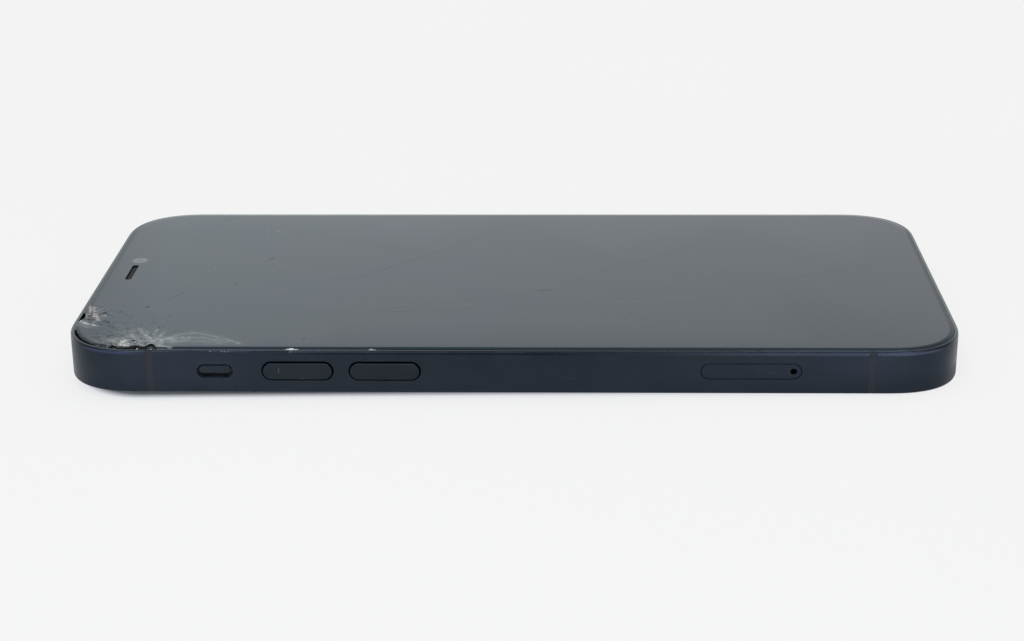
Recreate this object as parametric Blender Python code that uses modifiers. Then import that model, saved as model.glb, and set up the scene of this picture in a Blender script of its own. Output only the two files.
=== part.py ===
"""A slim slab phone with a shattered front glass, modelled piece by piece at its real size.

The phone lies on its back. +X runs along its length from the earpiece end to the charging end,
+Z points out of the screen, and the volume keys are on the -Y side, which is the phone's left.
Heights are measured from the back glass. The camera rings stand proud of it, so an empty lifts
every piece until the rings touch the surface that the phone lies on.
"""

import math

import bmesh
import bpy
from mathutils import Vector

MM = 0.001

# Overall size
LENGTH = 146.7 * MM
WIDTH = 71.5 * MM
THICKNESS = 7.4 * MM
CORNER_REACH = 13.0 * MM
CORNER_POWER = 2.4
CORNER_STEPS = 10

# Clearances
BOND = 0.15 * MM
MOULD_GAP = 0.05 * MM
GLASS_SEAM = 0.15 * MM
KEY_GAP = 0.2 * MM
TRAY_GAP = 0.1 * MM
RUN_GAP = 0.15 * MM
PACKING_GAP = 0.3 * MM

# Frame
FRAME_WALL = 2.4 * MM
FRAME_RIM = 0.55 * MM
FRAME_EDGE = 0.4 * MM
BREAK_WIDTH = 1.25 * MM
UPPER_BREAK_FROM_TOP = 14.95 * MM
LOWER_BREAK_FROM_BOTTOM = 15.35 * MM
END_BREAK_OFFSET = 18.25 * MM

# Glass and display
COVER_GLASS = 0.75 * MM
COVER_EDGE = 0.5 * MM
BACK_GLASS = 0.75 * MM
BACK_EDGE = 0.25 * MM
BEZEL_LAP = 0.3 * MM
BEZEL_THICKNESS = 0.65 * MM
PANEL_THICKNESS = 0.85 * MM
SHIELD_THICKNESS = 0.2 * MM
SHIELD_MARGIN = 0.9 * MM
NOTCH_DEPTH = 6.8 * MM
NOTCH_LENGTH = 28.0 * MM
NOTCH_OFFSET = 2.0 * MM
CRACK = 0.12 * MM

# Front of the phone, measured from the earpiece end and the middle
EARPIECE_FROM_TOP = 4.95 * MM
EARPIECE_OFFSET = 1.6 * MM
EARPIECE_LENGTH = 7.2 * MM
EARPIECE_WIDTH = 1.07 * MM
EARPIECE_MESH = 0.3 * MM
EARPIECE_RECESS = 0.35 * MM
SPEAKER_BOX = (5.4 * MM, 9.4 * MM, 3.0 * MM)
SPEAKER_BOX_SHIFT = -1.5 * MM
FRONT_CAMERA_FROM_TOP = 5.15 * MM
FRONT_CAMERA_OFFSET = 7.9 * MM
FRONT_CAMERA_BARREL = 1.9 * MM
FRONT_CAMERA_BODY = 5.2 * MM
FRONT_CAMERA_DEPTH = 3.4 * MM
FRONT_BARREL_LENGTH = 1.3 * MM

# Keys on the two long sides
KEY_PROUD = 0.3 * MM
KEY_TRAVEL = 0.3 * MM
KEY_FLANGE = 0.5 * MM
KEY_FLANGE_LIP = 0.7 * MM
KEY_FLANGE_RISE = 0.45 * MM
KEY_EDGE = 0.2 * MM
SWITCH_STRIP = 0.6 * MM
DOME_RADIUS = 1.4 * MM
KEY_SLOT_HEIGHT = 3.25 * MM
KEY_LIFT = 0.08 * MM
VOLUME_SLOT_LENGTH = 11.65 * MM
VOLUME_UP_FROM_TOP = 38.95 * MM
VOLUME_SLOT_SPACE = 2.45 * MM
SIDE_KEY_SLOT_LENGTH = 17.5 * MM
SIDE_KEY_FROM_TOP = 46.0 * MM

# Ring switch
RING_FROM_TOP = 25.55 * MM
RING_SLOT_LENGTH = 5.8 * MM
RING_SLOT_HEIGHT = 2.2 * MM
RING_LIFT = 0.03 * MM
RING_LEVER_HEIGHT = 1.4 * MM
RING_END_GAP = 0.1 * MM
RING_SUNK = 0.1 * MM
RING_FLANGE_SIDE = 0.8 * MM
RING_FLANGE_UP = 0.4 * MM
RING_BODY = (8.6 * MM, 2.2 * MM)

# Card tray and its eject gear
TRAY_FROM_BOTTOM = 34.75 * MM
TRAY_SLOT_LENGTH = 16.2 * MM
TRAY_SLOT_HEIGHT = 2.7 * MM
TRAY_LIFT = 0.15 * MM
TRAY_FACE_DEPTH = 1.9 * MM
TRAY_LEAF_WIDTH = 12.6 * MM
TRAY_LEAF_SHIFT = -1.2 * MM
TRAY_LEAF_THICKNESS = 0.8 * MM
TRAY_RAIL = 1.8 * MM
CARD_LENGTH = 12.3 * MM
PIN_HOLE_SHIFT = 6.8 * MM
PIN_HOLE_RADIUS = 0.5 * MM
EJECT_ROD_RADIUS = 0.45 * MM
EJECT_ROD_END = 21.6 * MM
EJECT_GUIDE_LENGTH = 3.0 * MM
LEVER_PIVOT_SHIFT = 1.5 * MM
LEVER_ARM = 6.0 * MM
LEVER_ANGLE = math.radians(25)
LEVER_WIDTH = 1.2 * MM
LEVER_THICKNESS = 0.8 * MM
LEVER_HUB = 1.5 * MM
LEVER_PIN = 0.8 * MM
READER_ROOF = 0.3 * MM
READER_WALL = 0.4 * MM
READER_TAIL = 3.4 * MM

# Back of the phone: the camera island and what is in it
CAMERA_STAND_OFF = 1.5 * MM
ISLAND_HEIGHT = 0.9 * MM
ISLAND_LENGTH = 26.0 * MM
ISLAND_WIDTH = 23.0 * MM
ISLAND_CORNER = 6.5 * MM
ISLAND_EDGE = 0.3 * MM
ISLAND_FROM_TOP = 16.0 * MM
ISLAND_FROM_RIGHT = 14.0 * MM
LENS_SPACING = 12.8 * MM
LENS_SHIFT = 2.4 * MM
RING_OUTER = 5.7 * MM
RING_INNER = 4.7 * MM
LENS_THICKNESS = 0.6 * MM
LENS_RECESS = 0.3 * MM
BARREL_RADIUS = 4.2 * MM
CAMERA_BODY = 10.0 * MM
FLASH_SHIFT = -6.8 * MM
FLASH_RADIUS = 2.1 * MM

# Inside the phone
MID_PLATE = 0.4 * MM
BATTERY_FROM_TOP = 37.0 * MM
PACK_SIDE_GAP = 2.3 * MM
CENTRE_LINE = 1.5 * MM
BOARD_THICKNESS = 0.8 * MM
BOARD_SHIELD = 1.6 * MM
BOARD_SHIELD_INSET = 1.5 * MM
BOARD_FROM_TOP = 31.0 * MM
BOARD_FROM_BOTTOM = 26.0 * MM
MODULE_FROM_BOTTOM = 23.0 * MM
MODULE_END_GAP = 4.4 * MM
MODULE_EDGE = 0.8 * MM
SMALL_EDGE = 0.3 * MM
COIL_RADIUS = 24.0 * MM
COIL_HOLE = 11.0 * MM
COIL_THICKNESS = 0.35 * MM
COIL_OFFSET = 2.0 * MM

# Haptic motor
HAPTIC_END_GAP = 2.1 * MM
HAPTIC_WIDTH = 10.0 * MM
HAPTIC_HEIGHT = 3.3 * MM
HAPTIC_WALL = 0.35 * MM
HAPTIC_LID = 0.3 * MM
SPRING_SPACE = 3.65 * MM
SPRING_FOLDS = 4
SPRING_STRIP = 0.18 * MM

# Charging end
PORT_LENGTH = 8.6 * MM
PORT_HEIGHT = 2.7 * MM
PORT_SHELL_LENGTH = 10.0 * MM
PORT_SHELL_HEIGHT = 3.0 * MM
PORT_SHELL_DEPTH = 7.0 * MM
PORT_CAVITY_DEPTH = 6.0 * MM
PORT_CAVITY_LENGTH = 8.3 * MM
PORT_CAVITY_HEIGHT = 2.4 * MM
PORT_TONGUE_LENGTH = 6.0 * MM
PORT_TONGUE_HEIGHT = 0.7 * MM
SCREW_OFFSET = 7.9 * MM
SCREW_HEAD = 0.8 * MM
SCREW_HEAD_DEPTH = 0.8 * MM
SCREW_SHANK = 0.45 * MM
SCREW_SLOT = 0.25 * MM
SOUND_HOLE = 0.55 * MM
SOUND_HOLE_PITCH = 2.1 * MM
SOUND_HOLE_START = 11.6 * MM
SPEAKER_HOLES = 5
MICROPHONE_HOLES = 2

# Places worked out from the sizes above
TOP = -LENGTH / 2
BOTTOM = LENGTH / 2
LEFT = -WIDTH / 2
RIGHT = WIDTH / 2
MIDDLE = THICKNESS / 2
COVER_LOW = THICKNESS - COVER_GLASS
BEZEL_HIGH = COVER_LOW - BOND
BEZEL_LOW = BEZEL_HIGH - BEZEL_THICKNESS
SHELF_HIGH = BEZEL_LOW - BOND
SHELF_LOW = BACK_GLASS + BOND
PANEL_LOW = BEZEL_HIGH - PANEL_THICKNESS
SHIELD_HIGH = PANEL_LOW - BOND
SHIELD_LOW = SHIELD_HIGH - SHIELD_THICKNESS
PLATE_HIGH = SHELF_LOW + MID_PLATE
FLOOR = PLATE_HIGH + BOND
CEILING = SHIELD_LOW - PACKING_GAP
GLASS_INSET = FRAME_RIM + GLASS_SEAM
BEZEL_INNER = FRAME_WALL + BEZEL_LAP
PANEL_INSET = BEZEL_INNER + BOND
CAVITY_INSET = FRAME_WALL + BOND
INNER_LEFT = LEFT + FRAME_WALL
INNER_RIGHT = RIGHT - FRAME_WALL
KEY_Z = MIDDLE + KEY_LIFT
RING_Z = MIDDLE + RING_LIFT
VOLUME_UP_X = TOP + VOLUME_UP_FROM_TOP
VOLUME_DOWN_X = VOLUME_UP_X + VOLUME_SLOT_LENGTH + VOLUME_SLOT_SPACE
TRAY_Z = MIDDLE + TRAY_LIFT
RING_TRAVEL = RING_SLOT_HEIGHT - RING_LEVER_HEIGHT - 2 * RING_END_GAP
TRAY_X = BOTTOM - TRAY_FROM_BOTTOM
LEVER_Y = LEFT + EJECT_ROD_END + BOND + LEVER_WIDTH / 2
LEVER_SWING = LEVER_ARM * math.sin(LEVER_ANGLE) + LEVER_WIDTH / 2
TRAY_LEAF_END = LEVER_Y - LEVER_SWING - PACKING_GAP
ISLAND = Vector((TOP + ISLAND_FROM_TOP, RIGHT - ISLAND_FROM_RIGHT))
LENS_PLACES = {
    "upper": Vector((ISLAND.x - LENS_SPACING / 2, ISLAND.y + LENS_SHIFT)),
    "lower": Vector((ISLAND.x + LENS_SPACING / 2, ISLAND.y + LENS_SHIFT)),
}
FLASH_PLACE = Vector((ISLAND.x, ISLAND.y + FLASH_SHIFT))
HAPTIC_NEAR = -PORT_SHELL_LENGTH / 2 - HAPTIC_END_GAP
HAPTIC_FAR = INNER_LEFT + HAPTIC_END_GAP
HAPTIC_LENGTH = HAPTIC_NEAR - HAPTIC_FAR
HAPTIC_MASS_LENGTH = HAPTIC_LENGTH - 2 * HAPTIC_WALL - 2 * SPRING_SPACE
HAPTIC_CENTRE = Vector((
    BOTTOM - MODULE_FROM_BOTTOM + HAPTIC_WIDTH / 2,
    (HAPTIC_NEAR + HAPTIC_FAR) / 2,
))

# Finishes: colour, roughness, metallic
BLUE_METAL = ((0.020, 0.028, 0.045), 0.38, 0.9)
MOULDED_BLUE = ((0.030, 0.034, 0.045), 0.5, 0.0)
BLACK_GLASS = ((0.012, 0.014, 0.017), 0.06, 0.0)
BLACK_PLASTIC = ((0.015, 0.015, 0.016), 0.55, 0.0)
DARK_FILM = ((0.010, 0.010, 0.011), 0.4, 0.0)
LENS_GLASS = ((0.02, 0.022, 0.026), 0.05, 0.0)
STEEL = ((0.55, 0.55, 0.56), 0.35, 1.0)
ALUMINIUM = ((0.62, 0.63, 0.65), 0.4, 1.0)
COPPER = ((0.70, 0.36, 0.20), 0.35, 1.0)
BOARD_GREEN = ((0.012, 0.035, 0.022), 0.5, 0.0)
BATTERY_WRAP = ((0.05, 0.05, 0.052), 0.45, 0.0)
WARM_WHITE = ((0.85, 0.80, 0.62), 0.3, 0.0)

# The outline curves are drawn this many times larger, because filling an outline loses fine points
DRAWING_SCALE = 1000.0
WELD_DISTANCE = 0.000001
REACH_PAST = 5.0 * MM


def clear_scene():
    for old in list(bpy.data.objects):
        bpy.data.objects.remove(old, do_unlink=True)


def new_collection(name, hidden):
    collection = bpy.data.collections.new(name)
    collection.hide_render = hidden
    bpy.context.scene.collection.children.link(collection)
    return collection


clear_scene()
PHONE_PARTS = new_collection("shattered_screen_phone", False)
CUTTERS = new_collection("cutters", True)
LIFT = bpy.data.objects.new("phone", None)
LIFT.location = (0, 0, CAMERA_STAND_OFF)
PHONE_PARTS.objects.link(LIFT)


# Outlines


def rounded_rectangle(centre, size, reach, power=2.0, steps=4):
    """Points round a rectangle whose corners are superellipse arcs; a power of 2 gives round ones."""
    corner_x = size[0] / 2 - reach
    corner_y = size[1] / 2 - reach
    points = []
    for quarter in range(4):
        side_x = 1 if quarter in (0, 3) else -1
        side_y = 1 if quarter in (0, 1) else -1
        for step in range(steps + 1):
            along = step if quarter in (0, 2) else steps - step
            angle = math.pi / 2 * along / steps
            across = max(math.cos(angle), 0.0) ** (2 / power)
            up = max(math.sin(angle), 0.0) ** (2 / power)
            point = Vector((
                centre[0] + side_x * (corner_x + reach * across),
                centre[1] + side_y * (corner_y + reach * up),
            ))
            if not points or (point - points[-1]).length > WELD_DISTANCE:
                points.append(point)
    if (points[0] - points[-1]).length < WELD_DISTANCE:
        points.pop()
    return points


def phone_outline(inset):
    """The phone's own outline seen from the front, moved inwards by the inset."""
    size = (LENGTH - 2 * inset, WIDTH - 2 * inset)
    return rounded_rectangle((0, 0), size, CORNER_REACH - inset, CORNER_POWER, CORNER_STEPS)


def stadium(centre, length, height, steps=6):
    return rounded_rectangle(centre, (length, height), height / 2, 2.0, steps)


def circle(centre, radius, steps=8):
    return rounded_rectangle(centre, (2 * radius, 2 * radius), radius, 2.0, steps)


def rectangle(low, high):
    return [Vector(low), Vector((high[0], low[1])), Vector(high), Vector((low[0], high[1]))]


def moved_edges(points, distance):
    """A polygon that runs anticlockwise, with each edge moved outwards by the distance."""
    moved = []
    for index, here in enumerate(points):
        before = (here - points[index - 1]).normalized()
        after = (points[(index + 1) % len(points)] - here).normalized()
        out_before = Vector((before.y, -before.x))
        out_after = Vector((after.y, -after.x))
        lean = (out_before + out_after).normalized()
        moved.append(here + lean * distance / max(lean.dot(out_after), 0.3))
    return moved


# Meshes


def clean_mesh(mesh_bm, name):
    bmesh.ops.recalc_face_normals(mesh_bm, faces=mesh_bm.faces)
    if mesh_bm.calc_volume(signed=True) < 0:
        bmesh.ops.reverse_faces(mesh_bm, faces=mesh_bm.faces)
    mesh = bpy.data.meshes.new(name)
    mesh_bm.to_mesh(mesh)
    mesh_bm.free()
    mesh.shade_smooth()
    mesh.set_sharp_from_angle(angle=math.radians(32))
    return mesh


def evaluated_mesh(shape):
    bpy.context.view_layer.update()
    graph = bpy.context.evaluated_depsgraph_get()
    return bpy.data.meshes.new_from_object(shape.evaluated_get(graph))


def prism(loops, low, high, axis="Z"):
    """Filled flat outlines, extruded along an axis. For axis Y the outline lies in X and Z, and for
    axis X in Y and Z. An outline inside another one is a hole."""
    curve = bpy.data.curves.new("outline", "CURVE")
    curve.dimensions = "2D"
    curve.fill_mode = "BOTH"
    curve.extrude = (high - low) / 2 * DRAWING_SCALE
    for loop in loops:
        spline = curve.splines.new("POLY")
        spline.points.add(len(loop) - 1)
        spline.use_cyclic_u = True
        for point, place in zip(spline.points, loop):
            point.co = (place[0] * DRAWING_SCALE, place[1] * DRAWING_SCALE, 0, 1)
    shape = bpy.data.objects.new("outline", curve)
    CUTTERS.objects.link(shape)
    drawn = evaluated_mesh(shape)
    bm = bmesh.new()
    bm.from_mesh(drawn)
    bpy.data.objects.remove(shape, do_unlink=True)
    bpy.data.curves.remove(curve)
    bpy.data.meshes.remove(drawn)
    bmesh.ops.scale(bm, vec=Vector((1, 1, 1)) / DRAWING_SCALE, verts=bm.verts)
    bmesh.ops.remove_doubles(bm, verts=bm.verts, dist=WELD_DISTANCE)
    bmesh.ops.dissolve_limit(bm, angle_limit=0.0005, verts=bm.verts, edges=bm.edges)
    for vert in bm.verts:
        across, up, along = vert.co
        along += (low + high) / 2
        if axis == "Z":
            vert.co = (across, up, along)
        elif axis == "Y":
            vert.co = (across, along, up)
        else:
            vert.co = (along, across, up)
    return clean_mesh(bm, "prism")


def box(low, high):
    bm = bmesh.new()
    bmesh.ops.create_cube(bm, size=1.0)
    low = Vector(low)
    high = Vector(high)
    bmesh.ops.scale(bm, vec=high - low, verts=bm.verts)
    bmesh.ops.translate(bm, vec=(low + high) / 2, verts=bm.verts)
    return clean_mesh(bm, "box")


def rod(centre, radius, low, high, axis="Z", segments=24):
    """A cylinder along an axis. The centre gives its place across that axis, in X, Y, Z order."""
    bm = bmesh.new()
    bmesh.ops.create_cone(
        bm,
        cap_ends=True,
        segments=segments,
        radius1=radius,
        radius2=radius,
        depth=high - low,
    )
    for vert in bm.verts:
        across, up, along = vert.co
        along += (low + high) / 2
        across += centre[0]
        up += centre[1]
        if axis == "Z":
            vert.co = (across, up, along)
        elif axis == "Y":
            vert.co = (across, along, up)
        else:
            vert.co = (along, across, up)
    return clean_mesh(bm, "rod")


# Objects


def new_object(name, mesh, collection):
    shape = bpy.data.objects.new(name, mesh)
    shape.parent = LIFT
    collection.objects.link(shape)
    return shape


def add_piece(name, mesh, origin, finish):
    """Places a piece with its origin where it is held or turns, and gives it its own material."""
    colour, roughness, metallic = finish
    material = bpy.data.materials.new(name)
    material.use_nodes = True
    shader = material.node_tree.nodes["Principled BSDF"]
    shader.inputs["Base Color"].default_value = (*colour, 1.0)
    shader.inputs["Roughness"].default_value = roughness
    shader.inputs["Metallic"].default_value = metallic
    material.diffuse_color = (*colour, 1.0)
    mesh = mesh.copy()
    mesh.name = name
    for vert in mesh.vertices:
        vert.co -= Vector(origin)
    mesh.materials.clear()
    mesh.materials.append(material)
    piece = new_object(name, mesh, PHONE_PARTS)
    piece.location = origin
    return piece


def shape_with(piece, tool_mesh, operation, label, solver="EXACT"):
    """Cuts, joins or trims a piece with another closed mesh."""
    tool = new_object(f"{piece.name}_{label}", tool_mesh, CUTTERS)
    tool.hide_render = True
    tool.display_type = "WIRE"
    step = piece.modifiers.new(label, "BOOLEAN")
    step.operation = operation
    step.solver = solver
    step.object = tool


def cut(piece, tool_mesh, label):
    shape_with(piece, tool_mesh, "DIFFERENCE", label)


def cut_closed(piece, tool_mesh, label):
    """For a piece of the band or the glass, whose many close faces the exact solver can lose."""
    shape_with(piece, tool_mesh, "DIFFERENCE", label, "MANIFOLD")


def join(piece, tool_mesh, label):
    shape_with(piece, tool_mesh, "UNION", label)


def trim(piece, tool_mesh, label):
    """Keeps the part of the band or the glass that is inside a region."""
    shape_with(piece, tool_mesh, "INTERSECT", label, "MANIFOLD")


def round_edges(piece, width, segments=2):
    bevel = piece.modifiers.new("rounded_edges", "BEVEL")
    bevel.width = width
    bevel.segments = segments
    bevel.limit_method = "ANGLE"
    bevel.angle_limit = math.radians(60)
    bevel.use_clamp_overlap = True


def rounded_prism(loops, low, high, width, segments, keep_low=False, keep_high=False):
    """An extruded outline whose upper and lower rims are rounded, unless they are kept sharp."""
    mesh = prism(loops, low, high)
    weights = mesh.attributes.new("bevel_weight_edge", "FLOAT", "EDGE")
    edge_low = min(vert.co.z for vert in mesh.vertices)
    edge_high = max(vert.co.z for vert in mesh.vertices)
    for edge in mesh.edges:
        faces = [face for face in mesh.polygons if edge.key in face.edge_keys]
        flat = [abs(face.normal.z) > 0.5 for face in faces]
        heights = [mesh.vertices[index].co.z for index in edge.vertices]
        on_low = max(heights) - edge_low < WELD_DISTANCE and not keep_low
        on_high = edge_high - min(heights) < WELD_DISTANCE and not keep_high
        weights.data[edge.index].value = float(flat.count(True) == 1 and (on_low or on_high))
    shape = bpy.data.objects.new("rounded", mesh)
    CUTTERS.objects.link(shape)
    bevel = shape.modifiers.new("rounded_edges", "BEVEL")
    bevel.width = width
    bevel.segments = segments
    bevel.limit_method = "WEIGHT"
    rounded = evaluated_mesh(shape)
    bpy.data.objects.remove(shape, do_unlink=True)
    rounded.attributes.remove(rounded.attributes["bevel_weight_edge"])
    return rounded


# Frame: six metal lengths, with a moulded break between each pair of neighbours


def frame_ring_mesh():
    """The whole band round the phone, stepped inside for the two sheets of glass."""
    rounded = rounded_prism([phone_outline(0)], 0, THICKNESS, FRAME_EDGE, 3)
    ring = bpy.data.objects.new("ring", rounded)
    CUTTERS.objects.link(ring)
    inside = prism([phone_outline(FRAME_WALL)], -REACH_PAST, THICKNESS + REACH_PAST)
    front = prism([phone_outline(FRAME_RIM)], SHELF_HIGH, THICKNESS + REACH_PAST)
    back = prism([phone_outline(FRAME_RIM)], -REACH_PAST, SHELF_LOW)
    tools = []
    for label, mesh in (("inside", inside), ("front", front), ("back", back)):
        tool = bpy.data.objects.new(label, mesh)
        CUTTERS.objects.link(tool)
        tools.append(tool)
        step = ring.modifiers.new(label, "BOOLEAN")
        step.operation = "DIFFERENCE"
        step.solver = "MANIFOLD"
        step.object = tool
    mesh = evaluated_mesh(ring)
    for used in [ring, *tools]:
        bpy.data.objects.remove(used, do_unlink=True)
    return mesh


def add_frame():
    """Each length is the part of the band inside its own region of the plan."""
    ring = frame_ring_mesh()
    far = LENGTH + WIDTH
    upper = TOP + UPPER_BREAK_FROM_TOP
    lower = BOTTOM - LOWER_BREAK_FROM_BOTTOM
    top_break = END_BREAK_OFFSET
    bottom_break = -END_BREAK_OFFSET
    half = BREAK_WIDTH / 2
    regions = {
        "frame_top_left_corner": ((-far, -far), (upper - half, top_break - half)),
        "frame_top_right_corner": ((-far, top_break + half), (upper - half, far)),
        "frame_left_rail": ((upper + half, -far), (lower - half, 0)),
        "frame_right_rail": ((upper + half, 0), (lower - half, far)),
        "frame_bottom_left_corner": ((lower + half, -far), (far, bottom_break - half)),
        "frame_bottom_right_corner": ((lower + half, bottom_break + half), (far, far)),
    }
    pieces = {}
    for name, (low, high) in regions.items():
        origin = (
            max(min((low[0] + high[0]) / 2, BOTTOM), TOP),
            max(min((low[1] + high[1]) / 2, RIGHT), LEFT),
            MIDDLE,
        )
        pieces[name] = add_piece(name, ring, origin, BLUE_METAL)
        region = box((*low, -REACH_PAST), (*high, THICKNESS + REACH_PAST))
        trim(pieces[name], region, "region")
    narrow = half - MOULD_GAP
    breaks = {
        "antenna_break_left_upper": ((upper - narrow, -far), (upper + narrow, 0)),
        "antenna_break_right_upper": ((upper - narrow, 0), (upper + narrow, far)),
        "antenna_break_left_lower": ((lower - narrow, -far), (lower + narrow, 0)),
        "antenna_break_right_lower": ((lower - narrow, 0), (lower + narrow, far)),
        "antenna_break_top": ((-far, top_break - narrow), (0, top_break + narrow)),
        "antenna_break_bottom": ((0, bottom_break - narrow), (far, bottom_break + narrow)),
    }
    for name, (low, high) in breaks.items():
        origin = (
            max(min((low[0] + high[0]) / 2, BOTTOM), TOP),
            max(min((low[1] + high[1]) / 2, RIGHT), LEFT),
            MIDDLE,
        )
        insert = add_piece(name, ring, origin, MOULDED_BLUE)
        trim(insert, box((*low, -REACH_PAST), (*high, THICKNESS + REACH_PAST)), "region")
    return pieces


def slot_cutter(x, z, length, height, side):
    """A round-ended hole through the wall of one long side."""
    wall = (LEFT - REACH_PAST, INNER_LEFT + REACH_PAST)
    if side > 0:
        wall = (INNER_RIGHT - REACH_PAST, RIGHT + REACH_PAST)
    return prism([stadium((x, z), length, height)], wall[0], wall[1], "Y")


def cut_side_slots(frame):
    left = frame["frame_left_rail"]
    volume_up = slot_cutter(VOLUME_UP_X, KEY_Z, VOLUME_SLOT_LENGTH, KEY_SLOT_HEIGHT, -1)
    volume_down = slot_cutter(VOLUME_DOWN_X, KEY_Z, VOLUME_SLOT_LENGTH, KEY_SLOT_HEIGHT, -1)
    ring = slot_cutter(TOP + RING_FROM_TOP, RING_Z, RING_SLOT_LENGTH, RING_SLOT_HEIGHT, -1)
    tray = slot_cutter(TRAY_X, TRAY_Z, TRAY_SLOT_LENGTH, TRAY_SLOT_HEIGHT, -1)
    side_key = slot_cutter(TOP + SIDE_KEY_FROM_TOP, KEY_Z, SIDE_KEY_SLOT_LENGTH, KEY_SLOT_HEIGHT, 1)
    cut_closed(left, volume_up, "volume_up_slot")
    cut_closed(left, volume_down, "volume_down_slot")
    cut_closed(left, ring, "ring_slot")
    cut_closed(left, tray, "tray_slot")
    cut_closed(frame["frame_right_rail"], side_key, "side_key_slot")


def cut_charging_end(frame):
    end = frame["frame_bottom_right_corner"]
    wall = (BOTTOM - FRAME_WALL - REACH_PAST, BOTTOM + REACH_PAST)
    port = prism([stadium((0, MIDDLE), PORT_LENGTH, PORT_HEIGHT)], wall[0], wall[1], "X")
    cut_closed(end, port, "port")
    for side in (-1, 1):
        place = (side * SCREW_OFFSET, MIDDLE)
        label = "left" if side < 0 else "right"
        shank = SCREW_SHANK + RUN_GAP
        seat = BOTTOM - SCREW_HEAD_DEPTH - 2 * RUN_GAP
        screw_seat = rod(place, SCREW_HEAD + RUN_GAP, seat, wall[1], "X", 16)
        cut_closed(end, rod(place, shank, wall[0], wall[1], "X", 12), f"screw_hole_{label}")
        cut_closed(end, screw_seat, f"screw_seat_{label}")
    for side, count in ((1, SPEAKER_HOLES), (-1, MICROPHONE_HOLES)):
        for index in range(count):
            place = (side * (SOUND_HOLE_START + index * SOUND_HOLE_PITCH), MIDDLE)
            label = "speaker" if side > 0 else "microphone"
            sound_hole = rod(place, SOUND_HOLE, wall[0], wall[1], "X", 10)
            cut_closed(end, sound_hole, f"{label}_hole_{index}")


# Front glass with its broken corner


def from_corner(*pairs):
    """Points given in millimetres from the earpiece end and from the left side."""
    return [Vector((TOP + along * MM, LEFT + across * MM)) for along, across in pairs]


OFF_EDGE = -4.0

# Each broken piece runs anticlockwise from the rim, round its cracks and back to the rim
SHARDS = {
    "glass_shard_corner": (
        (OFF_EDGE, OFF_EDGE), (7.6, OFF_EDGE), (7.2, 2.2), (5.7, 6.4), (3.3, 11.0),
        (1.2, 12.4), (OFF_EDGE, 12.6),
    ),
    "glass_shard_second": (
        (7.6, OFF_EDGE), (10.3, OFF_EDGE), (10.6, 4.2), (9.0, 8.6), (5.2, 13.4),
        (3.3, 11.0), (5.7, 6.4), (7.2, 2.2),
    ),
    "glass_shard_third": (
        (10.3, OFF_EDGE), (15.0, OFF_EDGE), (15.3, 3.8), (12.6, 9.8), (7.4, 15.4),
        (5.2, 13.4), (9.0, 8.6), (10.6, 4.2),
    ),
    "glass_shard_end": (
        (OFF_EDGE, 12.6), (1.2, 12.4), (3.3, 11.0), (5.2, 13.4), (4.6, 17.2), (3.0, 20.4), (OFF_EDGE, 21.2),
    ),
    "glass_shard_long": (
        (15.0, OFF_EDGE), (29.6, OFF_EDGE), (28.0, 3.6), (23.6, 7.0), (17.8, 8.4), (15.3, 3.8),
    ),
}

# Glass that is gone from the rim, where the two blows landed
LOST_CHIPS = {
    "chip_end": ((OFF_EDGE, 13.3), (1.6, 13.2), (2.3, 15.2), (1.5, 17.4), (OFF_EDGE, 17.6)),
    "chip_first": ((8.1, OFF_EDGE), (12.5, OFF_EDGE), (12.2, 1.9), (10.2, 2.4), (8.5, 2.0)),
    "chip_second": ((14.2, OFF_EDGE), (15.9, OFF_EDGE), (15.6, 2.5), (14.6, 2.7)),
}


def add_cover_glass():
    sheet = rounded_prism(
        [phone_outline(GLASS_INSET)], COVER_LOW, THICKNESS, COVER_EDGE, 3, keep_low=True
    )
    glass = add_piece("cover_glass", sheet, (0, 0, COVER_LOW), BLACK_GLASS)
    low = COVER_LOW - REACH_PAST
    high = THICKNESS + REACH_PAST
    slot_place = (TOP + EARPIECE_FROM_TOP, EARPIECE_OFFSET)
    slot = rounded_rectangle(slot_place, (EARPIECE_WIDTH, EARPIECE_LENGTH), EARPIECE_WIDTH / 2, 2.0, 5)
    cut_closed(glass, prism([slot], low, high), "earpiece_slot")
    chips = {name: from_corner(*points) for name, points in LOST_CHIPS.items()}
    for name, points in SHARDS.items():
        corners = from_corner(*points)
        cut_closed(glass, prism([moved_edges(corners, CRACK / 2)], low, high), name)
        centre = sum(corners[2:-1], Vector((0, 0))) / len(corners[2:-1])
        shard = add_piece(name, sheet, (*centre, COVER_LOW), BLACK_GLASS)
        trim(shard, prism([moved_edges(corners, -CRACK / 2)], low, high), "crack")
        for chip_name, chip in chips.items():
            cut_closed(shard, prism([chip], low, high), chip_name)


# Display


def add_display():
    bezel_loops = [phone_outline(GLASS_INSET), phone_outline(BEZEL_INNER)]
    bezel = prism(bezel_loops, BEZEL_LOW, BEZEL_HIGH)
    add_piece("display_bezel", bezel, (0, 0, BEZEL_LOW), BLACK_PLASTIC)
    notch_middle = (0, NOTCH_OFFSET)
    notch = rectangle(
        (TOP - REACH_PAST, notch_middle[1] - NOTCH_LENGTH / 2),
        (TOP + PANEL_INSET + NOTCH_DEPTH, notch_middle[1] + NOTCH_LENGTH / 2),
    )
    panel = prism([phone_outline(PANEL_INSET)], PANEL_LOW, BEZEL_HIGH)
    screen = add_piece("display_panel", panel, (0, 0, PANEL_LOW), DARK_FILM)
    cut(screen, prism([notch], 0, THICKNESS + REACH_PAST), "notch")
    shield = prism([phone_outline(PANEL_INSET + SHIELD_MARGIN)], SHIELD_LOW, SHIELD_HIGH)
    backing = add_piece("display_shield", shield, (0, 0, SHIELD_LOW), STEEL)
    cut(backing, prism([notch], 0, THICKNESS + REACH_PAST), "notch")


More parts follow.
